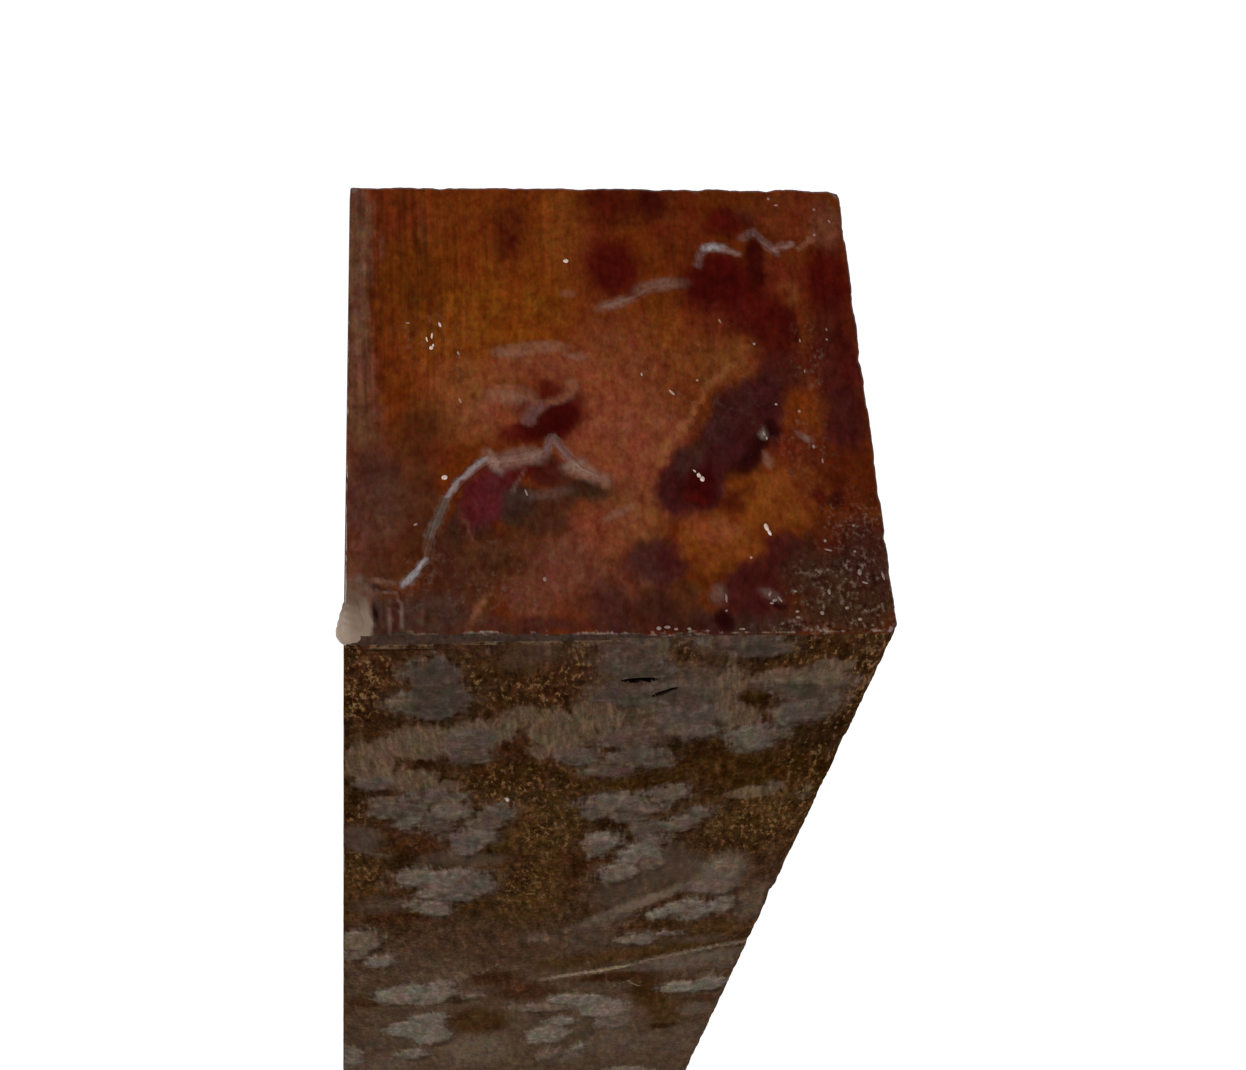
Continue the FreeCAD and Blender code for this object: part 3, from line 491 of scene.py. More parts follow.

# Paler and darker ground of the front face, with a painted sheen over its lower half
FRONT_GROUND = ovals(
    # The first patch, wide and pale over the lower half, is a painted sheen: the face greyer towards the
    # foot, as it would look reflecting the floor
    (25, 150, 40, 62, 0, Stain.PALE_GROUND, 0.8), (10, 92, 13, 12, 0, Stain.PALE_GROUND, 0.35, 0.6),
    (3, 3, 4, 4, 0, Stain.RED_GROUND, 0.6, 0.6), (2.5, 17, 5, 3, 0, Stain.DARK_GROUND, 0.8),
    (2, 12, 2.6, 6, 0, Stain.RED_GROUND, 0.7), (12, 17, 3.5, 2, -30, Stain.DARK_GROUND, 0.6),
    (17.2, 2.8, 3, 3.4, 0, Stain.HAZE_BROWN, 0.55, 0.6), (11.5, 1.8, 4, 1.6, 0, Stain.WARM_BROWN, 0.8),
    (20.5, 10, 4.5, 4, 0, Stain.RED_GROUND, 0.6, 0.6), (26.6, 4, 3.4, 5, 0, Stain.HAZE_BROWN, 0.9, 0.4),
    (28.4, 11.5, 5, 4.2, 0, Stain.HAZE_BROWN, 0.8), (33.4, 15, 4.4, 8.5, 0, Stain.LIGHT_HAZE, 0.75, 0.4),
    (29.6, 20.5, 4, 5, 0, Stain.HAZE_BROWN, 0.9, 0.4), (36.8, 2.6, 4.4, 2, 0, Stain.HAZE_BROWN, 0.8, 0.4),
    (44.4, 10.6, 5, 3, 0, Stain.LIGHT_HAZE, 0.7, 0.45),
    (45.4, 16, 3.4, 3.4, 0, Stain.HAZE_BROWN, 0.8, 0.45), (39.8, 13.6, 2, 1.7, 0, Stain.OLIVE, 1, 0.4),
    (13.5, 27.5, 4.5, 3.4, 0, Stain.RED_GROUND, 0.9), (9.8, 28.2, 2.2, 1.2, 0, Stain.DARK_GROUND, 0.9),
    (17, 24, 1.6, 3.6, 10, Stain.RED_GROUND, 0.9, 0.4), (16.5, 32, 5, 4, 0, Stain.OLIVE, 0.7),
    (37, 27.5, 6.5, 5, 0, Stain.OLIVE, 1, 0.4), (34.4, 25.4, 2.4, 3.4, 0, Stain.DARK_GROUND, 0.9, 0.4),
    (44, 32, 9, 5.5, 0, Stain.OLIVE, 0.95, 0.4), (46.5, 22.5, 3.8, 4, 0, Stain.DARK_GROUND, 0.9, 0.45),
    (28.5, 34.4, 6, 1.8, 0, Stain.OLIVE, 1, 0.4), (2, 36.6, 2.6, 2, 0, Stain.DARK_GROUND, 0.7),
    (19, 44, 6, 7, 0, Stain.STREAK_BROWN, 0.7), (13.4, 44.5, 0.9, 4, 8, Stain.DARK_GROUND, 0.8),
    (17.6, 47.5, 1.2, 4.5, 8, Stain.DARK_GROUND, 0.6), (7.5, 49, 4.5, 4.5, 0, Stain.RED_GROUND, 0.9),
    (45, 43, 6, 7, 0, Stain.STREAK_BROWN, 0.7), (22, 52, 4, 12, 0, Stain.STREAK_BROWN, 0.85),
    (27.5, 46.5, 2.6, 1.6, 0, Stain.DARK_GROUND, 0.85), (30.6, 50.6, 0.9, 3.4, 0, Stain.DARK_GROUND, 0.8),
    (37.6, 51.6, 2, 2.6, 0, Stain.DARK_GROUND, 0.7), (26.4, 57, 2, 3.4, 0, Stain.RED_GROUND, 0.8),
    (1.8, 48.8, 2.4, 4.2, -12, Stain.HAZE_BROWN, 1, 0.35),
    (4, 53.8, 1.7, 0.7, 28, Stain.LIGHT_HAZE, 0.9, 0.4), (5.5, 55.8, 5, 1.8, 10, Stain.DARK_GROUND, 0.7),
    (13.4, 55.6, 5, 2.2, 8, Stain.HAZE_BROWN, 0.9, 0.4), (2, 62, 3, 7, 0, Stain.STREAK_BROWN, 0.8),
    (21.5, 70, 4, 11, 0, Stain.STREAK_BROWN, 0.85), (19.6, 60, 1.6, 5, 0, Stain.RED_GROUND, 0.6),
    (37.5, 60.5, 4.4, 5.5, 0, Stain.HAZE_BROWN, 0.95, 0.4), (32.6, 68.5, 4, 5.5, 0, Stain.HAZE_BROWN, 0.9),
    (34.6, 72.4, 10.5, 1.3, -50, Stain.PALE_HAZE, 1), (31.6, 77.8, 4, 1.6, -50, Stain.LIGHT_HAZE, 0.8),
    (36.8, 55, 1.6, 3, 0, Stain.HAZE_BROWN, 0.8, 0.4),
    (43.6, 62.5, 2.8, 6.6, 0, Stain.PALE_HAZE, 0.95, 0.4), (42.2, 66.5, 3, 2.8, 0, Stain.PALE_HAZE, 0.8),
    (48.2, 61, 2, 6.5, 0, Stain.WARM_BROWN, 0.8), (48.6, 72.5, 2.2, 7, 0, Stain.LIGHT_HAZE, 0.7),
    (6.5, 75, 5, 2.2, 0, Stain.RED_GROUND, 0.7), (4, 70, 3.4, 3, 0, Stain.HAZE_BROWN, 0.7),
    (14.8, 71.5, 2.2, 3.4, 0, Stain.OLIVE, 0.7), (9.5, 84, 5, 6, 0, Stain.WARM_BROWN, 0.6, 0.6),
    (19.5, 87, 5, 8, 0, Stain.WARM_BROWN, 0.6, 0.6), (8.6, 90.5, 2.4, 4, 0, Stain.HAZE_BROWN, 0.6, 0.6),
    (23.6, 83.8, 2.6, 2.2, 0, Stain.HAZE_BROWN, 0.7), (30, 84, 3, 5, 0, Stain.HAZE_BROWN, 0.7),
    (37.5, 79.8, 4, 1.8, 0, Stain.OLIVE, 0.9, 0.45), (45.5, 82, 4, 3.4, 0, Stain.STREAK_BROWN, 0.7),
    (43, 86.5, 4, 1.8, -20, Stain.HAZE_BROWN, 0.8),
    (37.5, 90.4, 8.5, 2, -20, Stain.STREAK_BROWN, 0.95, 0.45),
    (28.5, 93.6, 4.5, 2.6, -15, Stain.STREAK_BROWN, 0.8),
    (43.5, 94.6, 8, 2.8, -28, Stain.LIGHT_HAZE, 1, 0.4), (46.5, 96.4, 4.4, 2.6, -10, Stain.LIGHT_HAZE, 0.5),
    (35, 100.2, 5.6, 2, -8, Stain.RED_GROUND, 0.95, 0.4), (19.6, 99.6, 3.4, 3, 0, Stain.RED_GROUND, 0.9),
    (23.6, 105.4, 4.4, 3.6, 0, Stain.RED_GROUND, 0.8), (22.6, 102.6, 2, 2.2, 0, Stain.BROWN, 0.5),
    (40.4, 107.5, 2.6, 7.5, -12, Stain.OLIVE, 0.95, 0.45),
    (43.6, 116.5, 2.4, 7, -8, Stain.STREAK_BROWN, 0.9),
    (44, 123, 2.2, 1.4, 0, Stain.DARK_GROUND, 0.95, 0.4), (47.8, 111, 2.6, 2, 0, Stain.WARM_BROWN, 0.8),
    (47.6, 115.5, 2, 2.6, 0, Stain.LIGHT_HAZE, 0.9), (14.8, 108, 1.8, 2.2, 25, Stain.DARK_GROUND, 0.9, 0.4),
    (3, 107.5, 2.4, 3, 0, Stain.GROUND, 0.8), (18, 117.5, 4.2, 6, 0, Stain.STREAK_BROWN, 0.95, 0.45),
    (19.5, 119.8, 2.4, 3, 0, Stain.GROUND, 0.8), (15.5, 115.5, 1.6, 2, 0, Stain.DARK_GROUND, 0.6),
    (26.4, 117.4, 2.2, 2, 0, Stain.HAZE_BROWN, 0.95, 0.4),
    (27, 116.6, 1.4, 0.6, 15, Stain.DARK_GROUND, 0.5), (37, 120, 2, 4.5, 0, Stain.PALE_HAZE, 0.9, 0.4),
    (34, 126.5, 1.8, 4, 0, Stain.HAZE_BROWN, 0.8), (4.5, 127.5, 3, 3, 0, Stain.HAZE_BROWN, 0.8),
    (18.5, 132, 4.5, 7, 0, Stain.PALE_HAZE, 0.7), (13.8, 126.5, 2, 2.6, 0, Stain.WARM_BROWN, 0.7),
    (39, 130.5, 4, 5.5, 0, Stain.LIGHT_HAZE, 0.6), (47.5, 130, 3, 6, 0, Stain.LIGHT_HAZE, 0.5),
    (32, 136.5, 2, 3, 0, Stain.MAUVE_3, 0.7), (6, 138, 4, 4, 0, Stain.LIGHT_HAZE, 0.7),
)

# The tones of ground that are smooth and hazy, with hardly any fibre in them
HAZES = (Stain.HAZE_BROWN, Stain.LIGHT_HAZE, Stain.PALE_HAZE, Stain.PALE_GROUND)

# Bands of pale, hairy fibre that run between the eyes of the front face
FRONT_HAIR = ovals_in(
    Stain.TAN,
    (2.6, 26.2, 3.2, 4, 0, 0.8, 0.45), (7.6, 23, 4.2, 4, -20, 1, 0.35),
    (13.4, 21.2, 3.2, 3.4, -20, 1, 0.45), (16.6, 17.6, 1.8, 3.2, 15, 0.8, 0.4),
    (20.8, 20.4, 2.6, 5.2, -10, 0.95, 0.35), (24.8, 18.6, 3, 5, 0, 0.8, 0.4),
    (20.8, 25.6, 2.4, 2, -15, 0.9, 0.4), (29, 17.6, 2, 2.8, 0, 0.4), (36.6, 11.4, 1.4, 6.4, 0, 0.75, 0.4),
    (38.6, 17.6, 2, 3.4, -32, 0.9, 0.4), (41.4, 8.8, 4, 1.5, -6, 0.8, 0.4),
    (45.6, 7.2, 2.4, 1.8, -30, 0.9, 0.4), (6.6, 32.4, 3.4, 2.8, 25, 0.95, 0.4),
    (10.6, 34, 2, 1.4, 20, 0.9, 0.4), (3, 30.2, 3, 2.4, 10, 0.8, 0.4), (4.6, 37.6, 2, 1.2, 0, 0.8, 0.4),
    (15.6, 41.6, 1.2, 1.8, 12, 0.5), (43, 37.9, 2.8, 1.5, -12, 0.95, 0.4),
    (45.4, 36, 1, 1.6, -20, 0.7, 0.4), (49, 38, 1, 2.4, 0, 0.5), (33.6, 80, 2.4, 1.8, -30, 0.35),
    (24, 83.6, 1.8, 1.8, 0, 0.7), (4.6, 61.4, 1, 3, 15, 0.3), (3.6, 70.6, 0.8, 0.6, 0, 1, 0.4),
    (42.8, 58, 1.6, 2.6, 0, 0.7), (23.4, 112.2, 2.4, 1.3, -8, 1, 0.4), (13.4, 99.4, 1.4, 3.6, 10, 0.7),
    (16.4, 105, 1.2, 2.4, 20, 0.7), (46.6, 100.6, 3.2, 1.6, 0, 0.6), (35.2, 127.4, 0.8, 2.6, 0, 0.8),
    (33, 131.6, 0.7, 3, -6, 0.9, 0.4), (19, 133, 2.4, 4, 0, 0.4), (28.6, 134.6, 1.6, 3, 0, 0.7),
)

# Where golden fibre ends, partly painted as glints, and dark pits show on the front face
FRONT_GOLD = ovals_in(
    Stain.OCHRE,
    (1.6, 8.5, 3, 9, 0, 0.85), (18.5, 11.5, 5.5, 3.8, 0, 0.7, 0.6), (22, 6, 2.4, 7, 0, 0.7, 0.6),
    (12.6, 8.5, 1.6, 6, -15, 0.7, 0.6), (48.8, 10, 2.4, 12, 0, 0.9), (43, 3.5, 5, 3.2, 0, 0.7),
    (31.5, 4, 1.8, 3.4, 0, 0.7), (48.2, 30, 3.4, 10, 0, 0.5, 0.6), (18, 35, 6, 6, 0, 0.65, 0.6),
    (22.4, 48, 3.4, 8, 0, 0.65), (45, 47, 6, 9, 0, 0.65), (48.6, 40, 2, 5, 0, 0.7), (2, 42, 2.4, 4, 0, 0.6),
    (21, 66, 3.6, 9, 0, 0.6, 0.6), (1.6, 58, 2.2, 8, 0, 0.6, 0.6), (22, 103, 5, 7, 0, 0.5, 0.6),
)

# The raised, pale seam that crosses the lower right of the front face, and a smaller one
LONG_SEAM = (
    (25.6, 100.2),
    (28.6, 99.2),
    (33.2, 97.4),
    (37.6, 94.6),
    (41.2, 92.0),
    (46.0, 89.4),
    (50.8, 86.9),
)
SEAM_HEAD = ((27.0, 99.6), (29.0, 98.8), (33.2, 97.4), (36.0, 95.8))
SHORT_SEAM = ((17.2, 97.6), (18.4, 95.4), (19.8, 93.0))
SMALL_FORK = ((35.2, 103.6), (37.0, 102.2), (38.4, 104.0), (39.0, 104.4))

# The seams as they are drawn, the wide soft ones first: route, half width, tone and strength
SEAMS = (
    (LONG_SEAM, 1.9, "#544437", 0.65),
    (LONG_SEAM, 0.6, "#635242", 0.7),
    (SEAM_HEAD, 0.7, "#74654e", 0.75),
    (SHORT_SEAM, 0.5, "#584839", 0.7),
    (SMALL_FORK, 0.35, "#665a4c", 0.9),
)

# A fleck of wax on the front face
WAX_FLECK = Patch(17, 38.2, 0.35, 0.55, 0, Stain.WAX_WHITE, soft=0.35)
FLECK_TONE = "#b9a898"

# How softly the lobes of an eye melt together, and the field's limits outside and inside
MELT = 0.25
FIELD_LIMITS = (-3.0, 1.5)

# Where two lobes meet in a crease, which is painted darker as shade: how wide it is, and how deep inside the
# eye it shows
CREASE_WIDTH = 0.55
CREASE_DEPTHS = (-0.25, 0.3)

# Ripples that push the head end's patches about: height, width and the seeds of both ways
HEAD_SWAYS = ((0.5, 4.0, (5, 6)), (0.45, 1.3, (7, 8)), (0.25, 0.6, (15, 16)))
MILK_SWAY = 0.2
MILK_LINE_EDGE = (0.3, 1.4)


def distance_to_route(route: Route, across: Array, along: Array) -> Array:
    """Distance from points to a route of straight runs."""
    nearest = np.full(len(across), np.inf)
    here = np.stack([across, along], axis=1)
    for start, end in zip(np.array(route), np.array(route[1:])):
        run = end - start
        share = np.clip(((here - start) @ run) / (run @ run), 0, 1)
        nearest = np.minimum(nearest, np.linalg.norm(here - start - share[:, None] * run, axis=1))
    return nearest


def most_cover(patches: Iterable[Patch], across: Array, along: Array) -> Array:
    """The most that any of the patches covers each point."""
    return np.max([patch.cover(across, along) for patch in patches], axis=0)


def eye_field(
    eyes: Iterable[Patch], notches: Iterable[Patch], across: Array, along: Array
) -> Array:
    """How far points lie inside the nearest eye, in about millimetres.

    Args:
        eyes: The lobes that melt into eyes.
        notches: The bites taken out of them.
        across: Each point's distance from the left.
        along: Each point's distance along the face.

    Returns:
        One value per point, below 0 outside every eye.
    """
    farthest, crown = FIELD_LIMITS
    total = np.full(len(across), np.finfo(np.float32).tiny)
    for eye in eyes:
        total += np.exp(np.clip(eye.inside(across, along), farthest, -farthest) / MELT)
    field = MELT * np.log(total)
    for notch in notches:
        field = np.minimum(field, -notch.inside(across, along))
    return np.clip(field, farthest, crown)


def creases_between(eyes: Iterable[Patch], across: Array, along: Array) -> Array:
    """How near points lie to where two lobes of an eye meet, from 0 to 1, which sets the painted shade of the
    crease there.
    """
    depths = np.sort(np.stack([eye.inside(across, along) for eye in eyes]), axis=0)
    first, second = depths[-1], depths[-2]
    return (1 - smooth(first - second, 0.0, CREASE_WIDTH)) * smooth(second, *CREASE_DEPTHS)


def lay_colour(mesh: bpy.types.Mesh, name: str, rows: Array) -> None:
    """Stores one colour per vertex."""
    layer = mesh.attributes.new(name, "FLOAT_COLOR", "POINT")
    layer.data.foreach_set("color", rows.astype(np.float32).ravel())


def lay_value(mesh: bpy.types.Mesh, name: str, column: Array) -> None:
    """Stores one number per vertex."""
    layer = mesh.attributes.new(name, "FLOAT", "POINT")
    layer.data.foreach_set("value", column.astype(np.float32))


def paint_head(mesh: bpy.types.Mesh, points: Array) -> None:
    """Lays the head end's stain, milk and specks on a mesh that stands there.

    Args:
        mesh: The block's mesh or the wax's.
        points: Its vertices, in millimetres.
    """
    flat = points * np.array([1, 1, 0])
    across = points[:, 0] + WIDTH / 2
    along = points[:, 1] + DEPTH / 2
    ripples = [np.stack([ripple(flat, width, seed) for seed in seeds]) for _, width, seeds in HEAD_SWAYS]
    shift = sum(sway[0] * both for sway, both in zip(HEAD_SWAYS, ripples))
    lay_colour(mesh, "stain", painted(Stain.DEEP_AMBER, HEAD_PATCHES, across + shift[0], along + shift[1]))
    over, back = np.stack([across, along]) + MILK_SWAY * ripples[1] + MILK_SWAY * ripples[2]
    milk = most_cover(MILK_PATCHES, over, back)
    tones = painted(Stain.WAX_GREY, MILK_PATCHES, over, back)
    for route, half_width, tone, strength in MILK_LINES:
        core, edge = (share * half_width for share in MILK_LINE_EDGE)
        near = 1 - smooth(distance_to_route(route, over, back), core, edge)
        milk = np.maximum(milk, strength * near)
        tones = tones * (1 - near[:, None]) + np.array(linear(tone.value)) * near[:, None]
    lay_colour(mesh, "wax_tone", tones)
    lay_value(mesh, "milk", milk)
    lay_value(mesh, "speckle", most_cover(SPECKLE_PATCHES, across, along))
    lay_value(mesh, "sawn", most_cover(SAWN_PATCHES, across, along))


# Where nearly all of a noise lies, its middle, and the roughness of its finer layers
NOISE_SPAN = (0.3, 0.7)
NOISE_MIDDLE = 0.5
NOISE_ROUGHNESS = 0.6

# Settings of the nodes that work with numbers, vectors and colours
PLUS = {"operation": "ADD"}
LESS = {"operation": "SUBTRACT"}
TIMES = {"operation": "MULTIPLY"}
TIMES_PLUS = {"operation": "MULTIPLY_ADD"}
SCALED = {"operation": "SCALE"}

# How the painted marks break up at their edges, and how far their tone swings
MARK_RAGGED = 0.9
MARK_EDGE = (0.7, 1.2)
MARK_SOLID = (0.05, 0.3)
MARK_SWING = (0.6, 1.4)

WHITE = (1.0, 1.0, 1.0, 1.0)


def add_node(
    tree: Tree, kind: str, inputs: Optional[dict] = None, settings: Optional[dict] = None
) -> bpy.types.Node:
    """Adds a node with its settings and links.

    Args:
        tree: The node tree to add to.
        kind: The node's type after "ShaderNode", such as "TexNoise".
        inputs: Input name or number to a value, or to the socket or the node that feeds it.
            A node feeds it by its first output.
        settings: Property name to value.

    Returns:
        The new node.
    """
    node = tree.nodes.new("ShaderNode" + kind)
    for name, value in (settings or {}).items():
        setattr(node, name, value)
    for name, value in (inputs or {}).items():
        if isinstance(value, bpy.types.Node):
            tree.links.new(value.outputs[0], node.inputs[name])
        elif isinstance(value, bpy.types.NodeSocket):
            tree.links.new(value, node.inputs[name])
        else:
            node.inputs[name].default_value = value
    return node


def empty_material(name: str) -> tuple[bpy.types.Material, Tree]:
    """Makes a material with no nodes."""
    material = bpy.data.materials.new(name)
    material.use_nodes = True
    material.node_tree.nodes.clear()
    return material, material.node_tree


def millimetres(tree: Tree) -> Feed:
    """The object's own coordinates, in millimetres."""
    place = add_node(tree, "TexCoord").outputs["Object"]
    return add_node(tree, "VectorMath", {0: place, "Scale": 1 / MM}, SCALED)


def drawn_noise(tree: Tree, place: Feed, size: Triple, detail: float, output: str = "Fac") -> Feed:
    """Noise whose blobs have one size on each axis.

    Args:
        tree: The node tree to add to.
        place: Coordinates in millimetres.
        size: Width of a blob along X, Y and Z, in millimetres.
        detail: How many finer layers are added.
        output: "Fac" for one noise, or "Color" for three that wander apart.

    Returns:
        The noise, from 0 to 1 and mostly inside NOISE_SPAN.
    """
    squeeze = tuple(1 / width for width in size)
    squeezed = add_node(tree, "VectorMath", {0: place, 1: squeeze}, TIMES)
    pattern = {"Vector": squeezed, "Scale": 1.0, "Detail": detail, "Roughness": NOISE_ROUGHNESS}
    return add_node(tree, "TexNoise", pattern).outputs[output]


def attribute(tree: Tree, name: str, output: str = "Fac") -> Feed:
    """Reads one of the piece's own painted attributes."""
    return add_node(tree, "Attribute", settings={"attribute_name": name}).outputs[output]


def varied(tree: Tree, colour: Feed | Triple, swings: Swings, noises: Noises) -> Feed:
    """A colour made darker and lighter by noises.

    Args:
        tree: The node tree to add to.
        colour: The colour.
        swings: Each noise's name, with the share of the colour at its low end and at its high end.
        noises: The noises by name.

    Returns:
        The colour, varied.
    """
    low, high = NOISE_SPAN
    for name, least, most in swings:
        swing = {"Value": noises[name], "From Min": low, "From Max": high, "To Min": least, "To Max": most}
        share = add_node(tree, "MapRange", swing)
        colour = add_node(tree, "VectorMath", {0: colour, "Scale": share}, SCALED)
    return colour


def tinted(tree: Tree, colour: Feed | Triple, value: Feed, ends: tuple[Triple, Triple]) -> Feed:
    """A colour multiplied by another that a noise moves between two ends.

    Args:
        tree: The node tree to add to.
        colour: The colour.
        value: The noise, as one number or as three that wander apart.
        ends: Shares of red, green and blue at the noise's low end, and at its high end.

    Returns:
        The colour, tinted.
    """
    low, high = ((end,) * 3 for end in NOISE_SPAN)
    span = {"Vector": value, 7: low, 8: high, 9: ends[0], 10: ends[1]}
    swing = add_node(tree, "MapRange", span, {"data_type": "FLOAT_VECTOR"})
    return add_node(tree, "VectorMath", {0: colour, 1: swing.outputs["Vector"]}, TIMES)


def masked(tree: Tree, value: Feed, span: Span, least: float = 0.0) -> Feed:
    """A mask that rises smoothly from its least to 1 as a value crosses a span.

    Args:
        tree: The node tree to add to.
        value: The value.
        span: Where the mask starts and ends. Given high end first, the mask falls instead.
        least: The mask before its start.

    Returns:
        The mask.
    """
    limits = {"Value": value, "From Min": span[0], "From Max": span[1], "To Min": least}
    return add_node(tree, "MapRange", limits, {"interpolation_type": "SMOOTHSTEP"})


def wandering_lines(tree: Tree, value: Feed, width: float) -> Feed:
    """Thin lines where a noise passes its middle value, 1 on a line and 0 off it."""
    off = add_node(tree, "Math", {0: value, 1: NOISE_MIDDLE}, LESS)
    gap = add_node(tree, "Math", {0: off}, {"operation": "ABSOLUTE"})
    return masked(tree, gap, (width, 0.0))


def mixed(tree: Tree, shares: tuple[Feed, ...], below: Feed, above: Feed | Colour) -> Feed:
    """Lays one colour over another, by the product of the shares."""
    cover = shares[0]
    for part in shares[1:]:
        cover = add_node(tree, "Math", {0: cover, 1: part}, TIMES)
    return add_node(tree, "Mix", {0: cover, 6: below, 7: above}, {"data_type": "RGBA"}).outputs[2]


def marked(tree: Tree, wood: Feed, noises: Noises, breaker: str) -> Feed:
    """Lays the painted marks over the wood, broken up at their edges by the noise named."""
    weight = attribute(tree, "mark", "Alpha")
    ragged = add_node(tree, "Math", {0: noises[breaker], 1: MARK_RAGGED, 2: weight}, TIMES_PLUS)
    shares = (masked(tree, ragged, MARK_EDGE), masked(tree, weight, MARK_SOLID))
    tone = varied(tree, attribute(tree, "mark", "Color"), ((breaker, *MARK_SWING),), noises)
    return mixed(tree, shares, wood, tone)


def bumped(tree: Tree, height: Feed, strength: float, depth: float) -> Feed:
    """A fine relief in the shading, its depth in millimetres."""
    return add_node(tree, "Bump", {"Height": height, "Strength": strength, "Distance": depth * MM})


def surfaced(material: bpy.types.Material, looks: dict) -> bpy.types.Material:
    """Ends a material in a principled surface with the looks given."""
    shader = add_node(material.node_tree, "BsdfPrincipled", looks)
    add_node(material.node_tree, "OutputMaterial", {"Surface": shader})
    return material


@dataclass(frozen=True)
class Strewing:
    """How one kind of patch is strewn over a face that nothing in the photo fixes."""

    seed: int
    tones: tuple[Stain, ...]
    cell: Span
    left_out: float
    half_across: Span
    half_along: Span
    most_lobes: int
    weight: float
    edge: float
    most_lean: float = 14.0
    lobe_turn: float = 12.0
    lobe_shift: Span = (1.0, 1.3)
    least_size: float = 0.6
    size_spread: float = 0.8

    def patches(self, number: int, length: float) -> list[Patch]:
        """Draws the patches of one face, all leaning much the same way.

        Args:
            number: The face's number, which chooses the pattern.
            length: The face's length.

        Returns:
            The patches.
        """
        dice = np.random.default_rng(self.seed + number)
        lean = dice.uniform(-self.most_lean, self.most_lean)
        columns, rows = round(WIDTH / self.cell[0]), round(length / self.cell[1])
        strewn = []
        for row, column in product(range(rows), range(columns)):
            across = (column + dice.random()) * WIDTH / columns
            along = (row + dice.random()) * length / rows
            size = self.least_size + self.size_spread * dice.random() ** 2
            tone = self.tones[dice.integers(len(self.tones))]
            lobes = dice.integers(1, self.most_lobes + 1)
            if dice.random() < self.left_out:
                continue
            for _ in range(lobes):
                halves = [dice.uniform(*span) * size for span in (self.half_across, self.half_along)]
                shifts = [dice.uniform(-most, most) * half for most, half in zip(self.lobe_shift, halves)]
                turn = lean + dice.uniform(-self.lobe_turn, self.lobe_turn)
                middle = (across + shifts[0], along + shifts[1])
                strewn.append(Patch(*middle, *halves, turn, tone, self.weight, self.edge))
        return strewn


EYE_TONES = (Stain.GREY_2, Stain.GREY_3, Stain.GREY_4, Stain.GREY_5, Stain.MAUVE_2, Stain.MAUVE_3)
GROUND_TONES = (
    Stain.RED_GROUND,
    Stain.OLIVE,
    Stain.STREAK_BROWN,
    Stain.HAZE_BROWN,
    Stain.HAZE_BROWN,
    Stain.LIGHT_HAZE,
    Stain.PALE_GROUND,
)

# Eyes, ground, hairs and golden ends of the sides that the photo doesn't show
OTHER_SIDES = (
    Strewing(11, EYE_TONES, (12.7, 11.5), 0.25, (1.5, 3.0), (1.8, 3.8), 4, 1.0, 0.35),
    Strewing(31, GROUND_TONES, (12.7, 13.0), 0.15, (3.5, 7.0), (4.0, 9.0), 2, 0.85, 0.6),
    Strewing(51, (Stain.TAN,), (17.0, 16.0), 0.45, (2.2, 4.2), (2.4, 4.8), 3, 0.85, 0.4),
    Strewing(71, (Stain.OCHRE,), (17.0, 15.0), 0.4, (3.0, 6.0), (3.0, 6.0), 2, 0.6, 0.45),
)


